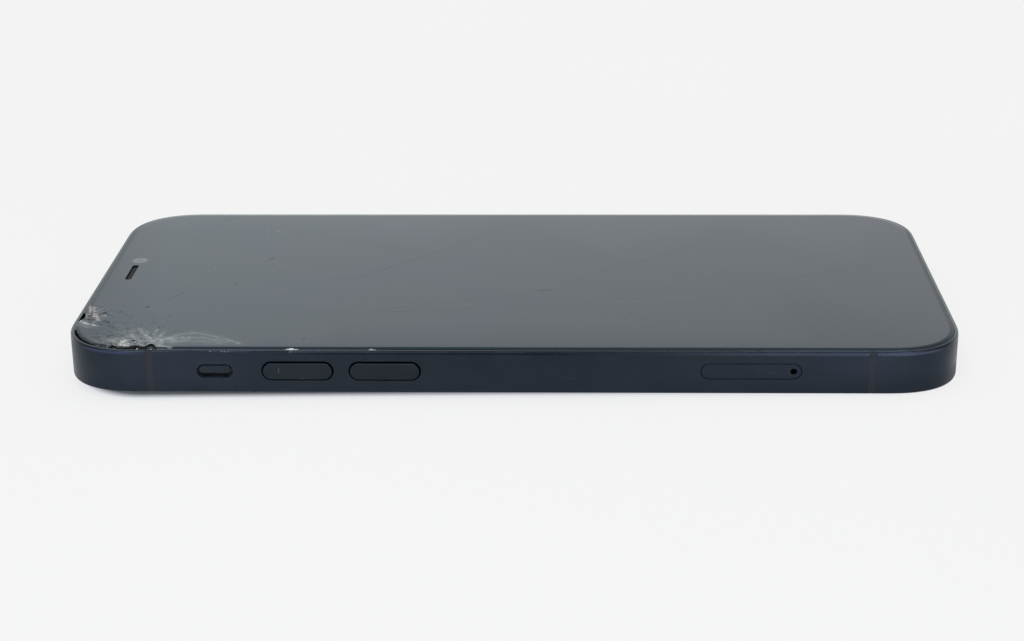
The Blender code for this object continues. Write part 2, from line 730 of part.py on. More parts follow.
def add_earpiece_and_front_camera():
    x = TOP + EARPIECE_FROM_TOP
    grille_high = THICKNESS - EARPIECE_RECESS
    grille = rounded_rectangle(
        (x, EARPIECE_OFFSET),
        (EARPIECE_WIDTH - 2 * TRAY_GAP, EARPIECE_LENGTH - 2 * TRAY_GAP),
        EARPIECE_WIDTH / 2 - TRAY_GAP,
        2.0,
        5,
    )
    grille_mesh = prism([grille], grille_high - EARPIECE_MESH, grille_high)
    add_piece("earpiece_mesh", grille_mesh, (x, EARPIECE_OFFSET, grille_high), BLACK_PLASTIC)
    length, width, height = SPEAKER_BOX
    start = TOP + BEZEL_INNER + PACKING_GAP
    middle = EARPIECE_OFFSET + SPEAKER_BOX_SHIFT
    speaker = box(
        (start, middle - width / 2, BEZEL_HIGH - height),
        (start + length, middle + width / 2, BEZEL_HIGH),
    )
    place = (start + length / 2, middle, BEZEL_HIGH - height)
    earpiece = add_piece("earpiece_speaker", speaker, place, BLACK_PLASTIC)
    round_edges(earpiece, SMALL_EDGE)
    camera_x = TOP + FRONT_CAMERA_FROM_TOP + FRONT_CAMERA_BODY / 2 - FRONT_CAMERA_BARREL
    barrel_low = BEZEL_HIGH - FRONT_BARREL_LENGTH
    half = FRONT_CAMERA_BODY / 2
    body = box(
        (camera_x - half, FRONT_CAMERA_OFFSET - half, BEZEL_HIGH - FRONT_CAMERA_DEPTH),
        (camera_x + half, FRONT_CAMERA_OFFSET + half, barrel_low),
    )
    place = (camera_x, FRONT_CAMERA_OFFSET, BEZEL_HIGH - FRONT_CAMERA_DEPTH)
    camera = add_piece("front_camera", body, place, BLACK_PLASTIC)
    lens_place = (TOP + FRONT_CAMERA_FROM_TOP, FRONT_CAMERA_OFFSET)
    barrel = rod(lens_place, FRONT_CAMERA_BARREL, barrel_low - BOND, BEZEL_HIGH)
    join(camera, barrel, "barrel")


# Back glass, camera island and rear cameras


def add_back():
    sheet = rounded_prism(
        [phone_outline(GLASS_INSET)], 0, BACK_GLASS, BACK_EDGE, 2, keep_high=True
    )
    glass = add_piece("back_glass", sheet, (0, 0, 0), BLACK_GLASS)
    island = rounded_rectangle(ISLAND, (ISLAND_LENGTH, ISLAND_WIDTH), ISLAND_CORNER, 2.0, 6)
    plateau = rounded_prism(
        [island], -ISLAND_HEIGHT, BACK_GLASS / 2, ISLAND_EDGE, 2, keep_high=True
    )
    join(glass, plateau, "island")
    for label, place in LENS_PLACES.items():
        hole = rod(place, RING_OUTER + TRAY_GAP, -REACH_PAST, REACH_PAST, "Z", 32)
        cut(glass, hole, f"hole_{label}")
        add_camera(label, place)
    flash_hole = rod(FLASH_PLACE, FLASH_RADIUS + TRAY_GAP, -REACH_PAST, REACH_PAST)
    cut(glass, flash_hole, "flash_hole")
    flash = rod(FLASH_PLACE, FLASH_RADIUS, -ISLAND_HEIGHT, SHELF_LOW - BOND / 2)
    add_piece("flash_lens", flash, (*FLASH_PLACE, -ISLAND_HEIGHT), WARM_WHITE)


def add_camera(label, place):
    ring_mesh = rounded_prism(
        [circle(place, RING_OUTER)], -CAMERA_STAND_OFF, BACK_GLASS, ISLAND_EDGE, 2, keep_high=True
    )
    ring = add_piece(f"camera_ring_{label}", ring_mesh, (*place, -CAMERA_STAND_OFF), BLUE_METAL)
    cut(ring, rod(place, RING_INNER, -REACH_PAST, REACH_PAST, "Z", 32), "bore")
    lens_low = LENS_RECESS - CAMERA_STAND_OFF
    lens_high = lens_low + LENS_THICKNESS
    lens = rod(place, RING_INNER - TRAY_GAP, lens_low, lens_high, "Z", 32)
    add_piece(f"camera_lens_{label}", lens, (*place, lens_low), LENS_GLASS)
    half = CAMERA_BODY / 2
    body = box((place.x - half, place.y - half, FLOOR), (place.x + half, place.y + half, CEILING))
    camera = add_piece(f"rear_camera_{label}", body, (*place, FLOOR), BLACK_PLASTIC)
    join(camera, rod(place, BARREL_RADIUS, lens_high + BOND, FLOOR + BOND), "barrel")


# Keys


def key_meshes(x, slot_length, side):
    """A key's cap, which fills its slot, and the wider flange that keeps it in."""
    cap_length = slot_length - 2 * KEY_GAP
    cap_height = KEY_SLOT_HEIGHT - 2 * KEY_GAP
    wall = INNER_LEFT if side < 0 else INNER_RIGHT
    outer = (LEFT - KEY_PROUD) if side < 0 else (RIGHT + KEY_PROUD)
    flange_near = wall - side * RUN_GAP
    flange_far = flange_near - side * KEY_FLANGE
    cap_inner = (flange_near + flange_far) / 2
    cap_outline = stadium((x, KEY_Z), cap_length, cap_height)
    cap = prism([cap_outline], min(outer, cap_inner), max(outer, cap_inner), "Y")
    flange_outline = stadium((x, KEY_Z), cap_length + 2 * KEY_FLANGE_LIP, cap_height + KEY_FLANGE_RISE)
    flange = prism([flange_outline], min(flange_near, flange_far), max(flange_near, flange_far), "Y")
    return cap, flange, outer


def add_key(name, x, slot_length, side):
    cap, flange, outer = key_meshes(x, slot_length, side)
    key = add_piece(name, cap, (x, outer, KEY_Z), BLUE_METAL)
    round_edges(key, KEY_EDGE)
    join(key, flange, "flange")


def add_switch_strip(name, centres, length, middle, side):
    """The sprung switches behind a side's keys, on one upright strip."""
    wall = INNER_LEFT if side < 0 else INNER_RIGHT
    key_back = wall - side * (RUN_GAP + KEY_FLANGE)
    dome_tip = key_back - side * (KEY_TRAVEL + BOND / 2)
    strip_near = dome_tip - side * BOND
    strip_far = strip_near - side * SWITCH_STRIP
    body = box(
        (middle - length / 2, min(strip_near, strip_far), FLOOR),
        (middle + length / 2, max(strip_near, strip_far), CEILING),
    )
    strip = add_piece(name, body, (middle, strip_far, FLOOR), STEEL)
    inside = (strip_near + strip_far) / 2
    for index, x in enumerate(centres):
        dome = rod((x, KEY_Z), DOME_RADIUS, min(dome_tip, inside), max(dome_tip, inside), "Y", 16)
        join(strip, dome, f"dome_{index}")


def add_keys():
    side_x = TOP + SIDE_KEY_FROM_TOP
    add_key("volume_up_button", VOLUME_UP_X, VOLUME_SLOT_LENGTH, -1)
    add_key("volume_down_button", VOLUME_DOWN_X, VOLUME_SLOT_LENGTH, -1)
    add_key("side_button", side_x, SIDE_KEY_SLOT_LENGTH, 1)
    volume_places = (VOLUME_UP_X, VOLUME_DOWN_X)
    both = VOLUME_DOWN_X - VOLUME_UP_X + VOLUME_SLOT_LENGTH - 2 * DOME_RADIUS
    add_switch_strip("volume_switch_strip", volume_places, both, sum(volume_places) / 2, -1)
    add_switch_strip("side_switch_strip", (side_x,), SIDE_KEY_SLOT_LENGTH, side_x, 1)


def add_ring_switch():
    x = TOP + RING_FROM_TOP
    lever_z = RING_Z + RING_SLOT_HEIGHT / 2 - RING_END_GAP - RING_LEVER_HEIGHT / 2
    length = RING_SLOT_LENGTH - 2 * KEY_GAP
    face = LEFT + RING_SUNK
    flange_near = INNER_LEFT + RUN_GAP
    flange_far = flange_near + KEY_FLANGE
    cap_outline = stadium((x, lever_z), length, RING_LEVER_HEIGHT)
    cap = prism([cap_outline], face, (flange_near + flange_far) / 2, "Y")
    lever = add_piece("ring_switch", cap, (x, face, lever_z), BLUE_METAL)
    round_edges(lever, KEY_EDGE)
    half_length = length / 2 + RING_FLANGE_SIDE
    flange = box(
        (x - half_length, flange_near, lever_z - RING_LEVER_HEIGHT / 2 - RING_FLANGE_UP - RING_TRAVEL),
        (x + half_length, flange_far, lever_z + RING_LEVER_HEIGHT / 2 + RING_FLANGE_UP),
    )
    join(lever, flange, "flange")
    body_length, body_depth = RING_BODY
    body_near = flange_far + RUN_GAP
    body = box(
        (x - body_length / 2, body_near, FLOOR),
        (x + body_length / 2, body_near + body_depth, CEILING),
    )
    add_piece("ring_switch_body", body, (x, body_near, FLOOR), BLACK_PLASTIC)


# Card tray, its reader and the gear that ejects it


def add_card_tray():
    face_length = TRAY_SLOT_LENGTH - 2 * TRAY_GAP
    face_height = TRAY_SLOT_HEIGHT - 2 * TRAY_GAP
    face = prism([stadium((TRAY_X, TRAY_Z), face_length, face_height)], LEFT, LEFT + TRAY_FACE_DEPTH, "Y")
    tray = add_piece("sim_tray", face, (TRAY_X, LEFT, TRAY_Z), BLUE_METAL)
    leaf_x = TRAY_X + TRAY_LEAF_SHIFT
    half_width = TRAY_LEAF_WIDTH / 2
    half_thickness = TRAY_LEAF_THICKNESS / 2
    leaf = box(
        (leaf_x - half_width, LEFT + TRAY_FACE_DEPTH / 2, TRAY_Z - half_thickness),
        (leaf_x + half_width, TRAY_LEAF_END, TRAY_Z + half_thickness),
    )
    join(tray, leaf, "leaf")
    pocket = box(
        (leaf_x - half_width + TRAY_RAIL, TRAY_LEAF_END - TRAY_RAIL - CARD_LENGTH, TRAY_Z - REACH_PAST),
        (leaf_x + half_width - TRAY_RAIL, TRAY_LEAF_END - TRAY_RAIL, TRAY_Z + REACH_PAST),
    )
    cut(tray, pocket, "card_pocket")
    pin_place = (TRAY_X + PIN_HOLE_SHIFT, TRAY_Z)
    cut(tray, rod(pin_place, PIN_HOLE_RADIUS, LEFT - REACH_PAST, LEFT + REACH_PAST, "Y", 16), "pin_hole")


def add_card_reader():
    leaf_x = TRAY_X + TRAY_LEAF_SHIFT
    half_slot = TRAY_LEAF_WIDTH / 2 + TRAY_GAP
    slot_low = TRAY_Z - TRAY_LEAF_THICKNESS / 2 - RUN_GAP
    slot_high = TRAY_Z + TRAY_LEAF_THICKNESS / 2 + RUN_GAP
    near = INNER_LEFT + PACKING_GAP
    rod_x = TRAY_X + PIN_HOLE_SHIFT
    rod_space = EJECT_ROD_RADIUS + RUN_GAP
    cage = box(
        (leaf_x - half_slot - READER_WALL, near, FLOOR),
        (leaf_x + half_slot + READER_WALL, TRAY_LEAF_END + BOND, slot_high + READER_ROOF),
    )
    reader = add_piece("sim_reader", cage, (leaf_x, near, FLOOR), STEEL)
    base = box(
        (leaf_x - half_slot - READER_WALL, near, FLOOR),
        (rod_x + rod_space + READER_WALL, LEVER_Y + READER_TAIL, slot_low),
    )
    join(reader, base, "base")
    channel = box(
        (leaf_x - half_slot, LEFT, slot_low),
        (leaf_x + half_slot, TRAY_LEAF_END + REACH_PAST, slot_high),
    )
    cut(reader, channel, "channel")
    pin = rod((TRAY_X + LEVER_PIVOT_SHIFT, LEVER_Y), LEVER_PIN, slot_low - BOND, slot_high)
    join(reader, pin, "lever_pin")
    guide_middle = LEFT + (TRAY_FACE_DEPTH + EJECT_ROD_END) / 2
    guide = box(
        (rod_x - rod_space - READER_WALL / 2, guide_middle - EJECT_GUIDE_LENGTH / 2, slot_low - BOND),
        (rod_x + rod_space + READER_WALL, guide_middle + EJECT_GUIDE_LENGTH / 2, slot_high + READER_ROOF),
    )
    join(reader, guide, "rod_guide")
    bore = rod((rod_x, TRAY_Z), rod_space, LEFT, LEFT + EJECT_ROD_END, "Y", 16)
    cut(reader, bore, "rod_bore")


def add_eject_gear():
    rod_x = TRAY_X + PIN_HOLE_SHIFT
    rod_start = INNER_LEFT + PACKING_GAP
    eject = rod((rod_x, TRAY_Z), EJECT_ROD_RADIUS, rod_start, LEFT + EJECT_ROD_END, "Y", 16)
    add_piece("sim_eject_rod", eject, (rod_x, rod_start, TRAY_Z), STEEL)
    pivot_x = TRAY_X + LEVER_PIVOT_SHIFT
    half_width = LEVER_WIDTH / 2
    half_thickness = LEVER_THICKNESS / 2
    low = TRAY_Z - half_thickness
    high = TRAY_Z + half_thickness
    arms = box(
        (pivot_x - LEVER_ARM, LEVER_Y - half_width, low),
        (pivot_x + LEVER_ARM, LEVER_Y + half_width, high),
    )
    lever = add_piece("sim_eject_lever", arms, (pivot_x, LEVER_Y, TRAY_Z), STEEL)
    join(lever, rod((pivot_x, LEVER_Y), LEVER_HUB, low, high), "hub")
    pivot_hole = rod((pivot_x, LEVER_Y), LEVER_PIN + TRAY_GAP, 0, THICKNESS)
    cut(lever, pivot_hole, "pivot_hole")


# Inside the phone


def add_mid_plate():
    plate = prism([phone_outline(CAVITY_INSET)], SHELF_LOW, PLATE_HIGH)
    mid_plate = add_piece("mid_plate", plate, (0, 0, SHELF_LOW), ALUMINIUM)
    coil_place = (-COIL_OFFSET, 0)
    cut(mid_plate, rod(coil_place, COIL_RADIUS + PACKING_GAP, 0, THICKNESS, "Z", 48), "coil_window")
    for label, place in LENS_PLACES.items():
        cut(mid_plate, rod(place, BARREL_RADIUS + PACKING_GAP, 0, THICKNESS), f"barrel_{label}")
    coil_low = BACK_GLASS + BOND
    coil_loops = [circle(coil_place, COIL_RADIUS, 10), circle(coil_place, COIL_HOLE, 6)]
    coil = prism(coil_loops, coil_low, coil_low + COIL_THICKNESS)
    add_piece("charging_coil", coil, (*coil_place, coil_low), COPPER)


def add_power_and_logic():
    start = TOP + BATTERY_FROM_TOP
    end = TRAY_X + TRAY_LEAF_SHIFT - TRAY_LEAF_WIDTH / 2 - TRAY_GAP - READER_WALL - PACKING_GAP
    battery_low = FLOOR + BOND
    cell = box((start, INNER_LEFT + PACK_SIDE_GAP, battery_low), (end, CENTRE_LINE, CEILING))
    battery = add_piece("battery", cell, (start, CENTRE_LINE, battery_low), BATTERY_WRAP)
    round_edges(battery, MODULE_EDGE, 3)
    board_side = CENTRE_LINE + PACKING_GAP
    board_start = TOP + BOARD_FROM_TOP
    board_end = BOTTOM - BOARD_FROM_BOTTOM
    board_far = INNER_RIGHT - PACK_SIDE_GAP
    board = box((board_start, board_side, FLOOR), (board_end, board_far, FLOOR + BOARD_THICKNESS))
    add_piece("logic_board", board, (board_start, board_side, FLOOR), BOARD_GREEN)
    shield_low = FLOOR + BOARD_THICKNESS + BOND
    inset = BOARD_SHIELD_INSET
    middle = (board_start + board_end) / 2
    spans = {
        "board_shield_upper": (board_start + inset, middle - inset / 2),
        "board_shield_lower": (middle + inset / 2, board_end - inset),
    }
    for name, (low_x, high_x) in spans.items():
        can = box(
            (low_x, board_side + inset, shield_low),
            (high_x, board_far - inset, shield_low + BOARD_SHIELD),
        )
        shield = add_piece(name, can, (low_x, board_side + inset, shield_low), STEEL)
        round_edges(shield, SMALL_EDGE)


def add_loudspeaker():
    start = BOTTOM - MODULE_FROM_BOTTOM
    end = BOTTOM - MODULE_END_GAP
    near = PORT_SHELL_LENGTH / 2 + PACKING_GAP
    far = INNER_RIGHT - PACKING_GAP - CORNER_REACH * (1 - 0.5 ** (1 / CORNER_POWER))
    case = box((start, near, FLOOR), (end, far, CEILING))
    speaker = add_piece("loudspeaker", case, (start, near, FLOOR), BLACK_PLASTIC)
    round_edges(speaker, MODULE_EDGE, 3)


def add_haptic_motor():
    centre = HAPTIC_CENTRE
    half_width = HAPTIC_WIDTH / 2
    half_length = HAPTIC_LENGTH / 2
    lid_low = FLOOR + HAPTIC_HEIGHT - HAPTIC_LID
    tub_high = lid_low - MOULD_GAP
    tub = box(
        (centre.x - half_width, centre.y - half_length, FLOOR),
        (centre.x + half_width, centre.y + half_length, tub_high),
    )
    case = add_piece("haptic_case", tub, (*centre, FLOOR), STEEL)
    inner_width = half_width - HAPTIC_WALL
    inner_length = half_length - HAPTIC_WALL
    hollow = box(
        (centre.x - inner_width, centre.y - inner_length, FLOOR + HAPTIC_WALL),
        (centre.x + inner_width, centre.y + inner_length, THICKNESS),
    )
    cut(case, hollow, "hollow")
    lid = box(
        (centre.x - half_width, centre.y - half_length, lid_low),
        (centre.x + half_width, centre.y + half_length, lid_low + HAPTIC_LID),
    )
    add_piece("haptic_cover", lid, (*centre, lid_low), STEEL)
    mass_low = FLOOR + HAPTIC_WALL + RUN_GAP
    mass_high = tub_high - RUN_GAP
    mass_half = HAPTIC_MASS_LENGTH / 2
    weight = box(
        (centre.x - inner_width + PACKING_GAP, centre.y - mass_half, mass_low),
        (centre.x + inner_width - PACKING_GAP, centre.y + mass_half, mass_high),
    )
    mass = add_piece("haptic_mass", weight, (*centre, mass_low), STEEL)
    round_edges(mass, SMALL_EDGE)
    for side, name in ((-1, "haptic_spring_left"), (1, "haptic_spring_right")):
        near = centre.y + side * (mass_half + BOND)
        far = centre.y + side * (inner_length - BOND)
        outline = folded_spring(centre.x, inner_width - 2 * PACKING_GAP, near, far)
        spring = prism([outline], mass_low, mass_high)
        add_piece(name, spring, (centre.x, far, mass_low), STEEL)


def folded_spring(middle, half_span, near, far):
    """A strip folded to and fro between two walls, seen from above."""
    half_strip = SPRING_STRIP / 2
    run = (far - near - math.copysign(SPRING_STRIP, far - near)) / SPRING_FOLDS
    start = near + math.copysign(half_strip, far - near)
    line = [Vector((middle - half_span, start))]
    for fold in range(1, SPRING_FOLDS + 1):
        side = 1 if fold % 2 else -1
        line.append(Vector((middle + side * half_span * 0.5, start + run * fold)))
    line[-1].x = middle
    one_side = []
    other_side = []
    for index, here in enumerate(line):
        before = (here - line[index - 1]).normalized() if index else None
        after = (line[index + 1] - here).normalized() if index + 1 < len(line) else None
        lean_before = Vector((-before.y, before.x)) if before else Vector((-after.y, after.x))
        lean_after = Vector((-after.y, after.x)) if after else lean_before
        lean = (lean_before + lean_after).normalized()
        reach = half_strip / max(lean.dot(lean_after), 0.5)
        one_side.append(here + lean * reach)
        other_side.append(here - lean * reach)
    return one_side + other_side[::-1]


def add_charging_end():
    port_far = BOTTOM - FRAME_WALL - BOND
    port_near = port_far - PORT_SHELL_DEPTH
    half_length = PORT_SHELL_LENGTH / 2
    half_height = PORT_SHELL_HEIGHT / 2
    shell = box(
        (port_near, -half_length, MIDDLE - half_height),
        (port_far, half_length, MIDDLE + half_height),
    )
    port = add_piece("charging_port", shell, (port_far, 0, MIDDLE), STEEL)
    cavity = stadium((0, MIDDLE), PORT_CAVITY_LENGTH, PORT_CAVITY_HEIGHT)
    cut(port, prism([cavity], port_far - PORT_CAVITY_DEPTH, port_far + REACH_PAST, "X"), "cavity")
    tongue = box(
        (port_near + BOND, -PORT_TONGUE_LENGTH / 2, MIDDLE - PORT_TONGUE_HEIGHT / 2),
        (port_far - BOND, PORT_TONGUE_LENGTH / 2, MIDDLE + PORT_TONGUE_HEIGHT / 2),
    )
    join(port, tongue, "tongue")
    board_start = BOTTOM - MODULE_FROM_BOTTOM
    board = box(
        (board_start, -half_length, FLOOR),
        (port_far, half_length, MIDDLE - half_height - BOND),
    )
    add_piece("charging_board", board, (board_start, 0, FLOOR), BOARD_GREEN)
    for side, name in ((-1, "bottom_screw_left"), (1, "bottom_screw_right")):
        add_screw(name, side * SCREW_OFFSET)


def add_screw(name, y):
    head_face = BOTTOM - RUN_GAP
    head_seat = head_face - SCREW_HEAD_DEPTH
    head = rod((y, MIDDLE), SCREW_HEAD, head_seat, head_face, "X", 20)
    screw = add_piece(name, head, (head_seat, y, MIDDLE), STEEL)
    shank_end = BOTTOM - FRAME_WALL - PACKING_GAP
    join(screw, rod((y, MIDDLE), SCREW_SHANK, shank_end, head_seat + RUN_GAP, "X", 12), "shank")
    slot = box(
        (head_face - SCREW_SLOT, y - REACH_PAST, MIDDLE - SCREW_SLOT / 2),
        (head_face + REACH_PAST, y + REACH_PAST, MIDDLE + SCREW_SLOT / 2),
    )
    cut(screw, slot, "slot")


FRAME = add_frame()
cut_side_slots(FRAME)
cut_charging_end(FRAME)
add_cover_glass()
add_display()
add_earpiece_and_front_camera()
add_back()
add_keys()
add_ring_switch()
add_card_tray()
add_card_reader()
add_eject_gear()
add_mid_plate()
add_power_and_logic()
add_loudspeaker()
add_haptic_motor()
add_charging_end()
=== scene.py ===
"""The looks of a slim slab phone whose front glass is shattered at one corner.

The phone lies on its back. +X runs from the earpiece end to the charging end, +Z points out of the
screen, and the volume keys are on the -Y side. Sizes are in metres, and named MM where they were
measured in millimetres.
"""

import math
import random
from collections import defaultdict
from collections import namedtuple

import bmesh
import bpy
import numpy as np
from mathutils import Matrix, Vector, geometry, noise


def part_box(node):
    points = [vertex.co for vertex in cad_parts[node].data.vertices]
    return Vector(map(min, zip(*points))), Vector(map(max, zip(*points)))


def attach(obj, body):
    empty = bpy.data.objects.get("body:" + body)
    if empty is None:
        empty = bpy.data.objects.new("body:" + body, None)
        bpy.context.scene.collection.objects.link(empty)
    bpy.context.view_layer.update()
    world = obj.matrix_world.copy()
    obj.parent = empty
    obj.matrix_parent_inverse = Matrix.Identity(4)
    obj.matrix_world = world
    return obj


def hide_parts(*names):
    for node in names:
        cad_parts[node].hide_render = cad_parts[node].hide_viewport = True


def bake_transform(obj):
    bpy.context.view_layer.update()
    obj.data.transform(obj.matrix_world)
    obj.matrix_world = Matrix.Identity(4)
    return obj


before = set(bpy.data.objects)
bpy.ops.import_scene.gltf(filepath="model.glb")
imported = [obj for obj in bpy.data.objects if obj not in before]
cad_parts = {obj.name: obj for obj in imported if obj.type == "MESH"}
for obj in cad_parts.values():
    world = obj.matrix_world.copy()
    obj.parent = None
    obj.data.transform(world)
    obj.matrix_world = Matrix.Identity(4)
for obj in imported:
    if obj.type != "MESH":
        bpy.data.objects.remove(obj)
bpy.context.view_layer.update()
MM = 0.001


# Places taken from the frame

def middle_of(node):
    """The middle of a node's box."""
    return tuple((low + high) / 2 for low, high in zip(*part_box(node)))


def size_of(node):
    return tuple(high - low for low, high in zip(*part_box(node)))


HALF_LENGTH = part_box("frame_bottom_left_corner")[1].x
HALF_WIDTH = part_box("frame_right_rail")[1].y
BACK_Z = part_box("frame_left_rail")[0].z
FRONT_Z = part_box("frame_left_rail")[1].z
MIDDLE_Z = (BACK_Z + FRONT_Z) / 2
GLASS_LOW_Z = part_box("cover_glass")[0].z
GLASS_INSET = HALF_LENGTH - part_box("cover_glass")[1].x

# Outline of the phone
CORNER_REACH = 13.0 * MM
CORNER_POWER = 2.4
CORNER_STEPS = 26

# Band
WALL = 2.4 * MM
RIM = 0.66 * MM
RIM_Z = FRONT_Z - 0.2 * MM
BAND_EDGE = 0.4 * MM
BAND_EDGE_SHARE = 0.75
BAND_BEVEL = 0.05 * MM
SHELF_HIGH = BACK_Z + 5.7 * MM
SHELF_LOW = BACK_Z + 0.9 * MM
BREAK_WIDTH = 1.25 * MM
BREAK_SLIT = 0.015 * MM
UPPER_BREAK_X = -58.4 * MM
LOWER_BREAK_X = 58.0 * MM
TOP_BREAK_Y = 18.25 * MM
BOTTOM_BREAK_Y = -18.25 * MM

# Slots and keys in the long sides
SLOT_EDGE = 0.07 * MM
SLOT_DEPTH = WALL + 1 * MM
KEY_SLOT_HEIGHT = 3.25 * MM
KEY_GAP = 0.2 * MM
KEY_EDGE = 0.22 * MM
KEY_LIP = 0.7 * MM
KEY_FLANGE = 0.5 * MM
KEY_Z = MIDDLE_Z + 0.08 * MM
VOLUME_SLOT = (11.65 * MM, KEY_SLOT_HEIGHT)
SIDE_KEY_SLOT = (17.5 * MM, KEY_SLOT_HEIGHT)
RING_SLOT = (5.8 * MM, 2.26 * MM)
RING_CAP = (RING_SLOT[0] - 0.54 * MM, 1.4 * MM)
RING_CAP_EDGE = 0.18 * MM
RING_X = middle_of("ring_switch")[0]
RING_Z = MIDDLE_Z + 0.03 * MM
TRAY_SLOT = (16.2 * MM, 2.7 * MM)
TRAY_SLOT_EDGE = 0.03 * MM
TRAY_Z = MIDDLE_Z + 0.15 * MM
TRAY_FACE_DEPTH = 1.9 * MM
TRAY_FACE_EDGE = 0.06 * MM
LEAF_SHIFT = 1.2 * MM
LEAF_WIDTH = 12.6 * MM
LEAF_THICKNESS = 0.8 * MM
LEAF_RAIL = 1.8 * MM
CARD_LENGTH = 12.3 * MM
PIN_HOLE_SHIFT = 6.8 * MM
PIN_HOLE_RADIUS = 0.5 * MM
PIN_HOLE_EDGE = 0.1 * MM

# Charging end
PORT_SLOT = (8.6 * MM, 2.7 * MM)
PORT_SLOT_EDGE = 0.15 * MM
SCREW_Y = 7.9 * MM
SCREW_HEAD = 0.8 * MM
SCREW_SEAT = SCREW_HEAD + 0.1 * MM
SCREW_SEAT_DEPTH = 1.2 * MM
SCREW_SEAT_EDGE = 0.08 * MM
SCREW_HOLE = 0.6 * MM
SOUND_HOLE = 0.55 * MM
SOUND_HOLE_EDGE = 0.05 * MM
SOUND_PITCH = 2.1 * MM
SOUND_START = 11.6 * MM
SPEAKER_HOLES = 5
MICROPHONE_HOLES = 2

# Front glass: its edge falls away gently, then turns over
GLASS_EDGE = 0.95 * MM
GLASS_EDGE_FALL = 0.19 * MM
GLASS_EDGE_TURN = 0.06 * MM
EARPIECE = (-68.4 * MM, 1.5 * MM, 1.12 * MM, 7.7 * MM)
FRONT_CAMERA = (-68.2 * MM, 7.9 * MM, 1.38 * MM)

# Back
BACK_GLASS = 0.75 * MM
BACK_EDGE = 0.3 * MM
ISLAND_PLACE = (-57.35 * MM, 21.75 * MM)
ISLAND_SIZE = (26.0 * MM, 23.0 * MM)
ISLAND_CORNER = 6.5 * MM
ISLAND_HEIGHT = 0.9 * MM
ISLAND_FOOT = 0.35 * MM
HOLE_GAP = 0.1 * MM
RING_INNER = 4.7 * MM
RING_OUTER = 5.7 * MM
RING_EDGE = 0.3 * MM
LENS_BARREL = 4.2 * MM


# Outlines

def superellipse_quarter(reach, power, steps):
    """Offsets along one quarter of a rounded corner, from its X side to its Y side."""
    offsets = []
    for step in range(steps + 1):
        angle = math.pi / 2 * step / steps
        across = max(math.cos(angle), 0.0) ** (2 / power)
        up = max(math.sin(angle), 0.0) ** (2 / power)
        offsets.append((reach * across, reach * up))
    return offsets


def rounded_loop(centre, size, reach, power, steps, stops_x=((), ()), stops_y=((), ())):
    """Points round a rectangle with soft corners, anticlockwise from its +X side.

    stops_x holds extra places along the +Y and the -Y side, stops_y along the +X and the -X side.
    """
    corner = (size[0] / 2 - reach, size[1] / 2 - reach)
    quarter = superellipse_quarter(reach, power, steps)
    cx, cy = centre
    half_x, half_y = size[0] / 2, size[1] / 2
    points = []
    points += [(cx + corner[0] + a, cy + corner[1] + b) for a, b in quarter]
    points += [(x, cy + half_y) for x in sorted(stops_x[0], reverse=True)]
    points += [(cx - corner[0] - a, cy + corner[1] + b) for a, b in reversed(quarter)]
    points += [(cx - half_x, y) for y in sorted(stops_y[1], reverse=True)]
    points += [(cx - corner[0] - a, cy - corner[1] - b) for a, b in quarter]
    points += [(x, cy - half_y) for x in sorted(stops_x[1])]
    points += [(cx + corner[0] + a, cy - corner[1] - b) for a, b in reversed(quarter)]
    points += [(cx + half_x, y) for y in sorted(stops_y[0])]
    return points


def phone_loop(inset, stops_x=((), ()), stops_y=((), ()), steps=CORNER_STEPS):
    size = (2 * (HALF_LENGTH - inset), 2 * (HALF_WIDTH - inset))
    return rounded_loop((0, 0), size, CORNER_REACH - inset, CORNER_POWER, steps, stops_x, stops_y)


def grown_loop(centre, size, reach, steps, grow=0.0, power=2.0):
    """A rectangle with soft corners that is larger by grow on every side."""
    return rounded_loop(centre, (size[0] + 2 * grow, size[1] + 2 * grow), reach, power, steps)


def stadium(centre, length, height, steps=10, grow=0.0):
    """A slot's outline; its round ends keep their centres as it grows."""
    return grown_loop(centre, (length, height), height / 2 + grow, steps, grow)


def circle(centre, radius, steps=12):
    return rounded_loop(centre, (2 * radius, 2 * radius), radius, 2.0, steps)


def quarter_round(radius, steps):
    """(inward, down) pairs from the side of an edge up to its flat."""
    angles = [math.pi / 2 * step / steps for step in range(steps + 1)]
    return [(radius * (1 - math.cos(a)), radius * (1 - math.sin(a))) for a in angles]


# Mesh making

def place_points(loop, height, axis):
    """Puts a flat outline at a height along Z, or on the Y or X axis for a side or an end."""
    if axis == "Z":
        return [Vector((a, b, height)) for a, b in loop]
    if axis == "Y":
        return [Vector((a, height, b)) for a, b in loop]
    return [Vector((height, a, b)) for a, b in loop]


def lofted(rings, wrap=False):
    """A mesh through a row of loops. wrap joins the last loop to the first, or else both are filled."""
    made = bmesh.new()
    rows = [[made.verts.new(point) for point in ring] for ring in rings]
    pairs = list(zip(rows, rows[1:]))
    if wrap:
        pairs.append((rows[-1], rows[0]))
    for lower, upper in pairs:
        for index in range(len(lower)):
            following = (index + 1) % len(lower)
            made.faces.new((lower[index], lower[following], upper[following], upper[index]))
    if not wrap:
        made.faces.new(reversed(rows[0]))
        made.faces.new(rows[-1])
    return made


DOUBLED = 1e-7


def merged(made):
    bmesh.ops.remove_doubles(made, verts=made.verts, dist=DOUBLED)
    bmesh.ops.dissolve_degenerate(made, edges=made.edges, dist=DOUBLED)
    return made


def ended(made, name):
    """The mesh of a bmesh that is done with."""
    mesh = bpy.data.meshes.new(name)
    made.to_mesh(mesh)
    made.free()
    return mesh


def to_mesh(made, name):
    """A smooth mesh whose faces point outwards."""
    bmesh.ops.recalc_face_normals(made, faces=made.faces)
    mesh = ended(made, name)
    mesh.shade_smooth()
    return mesh


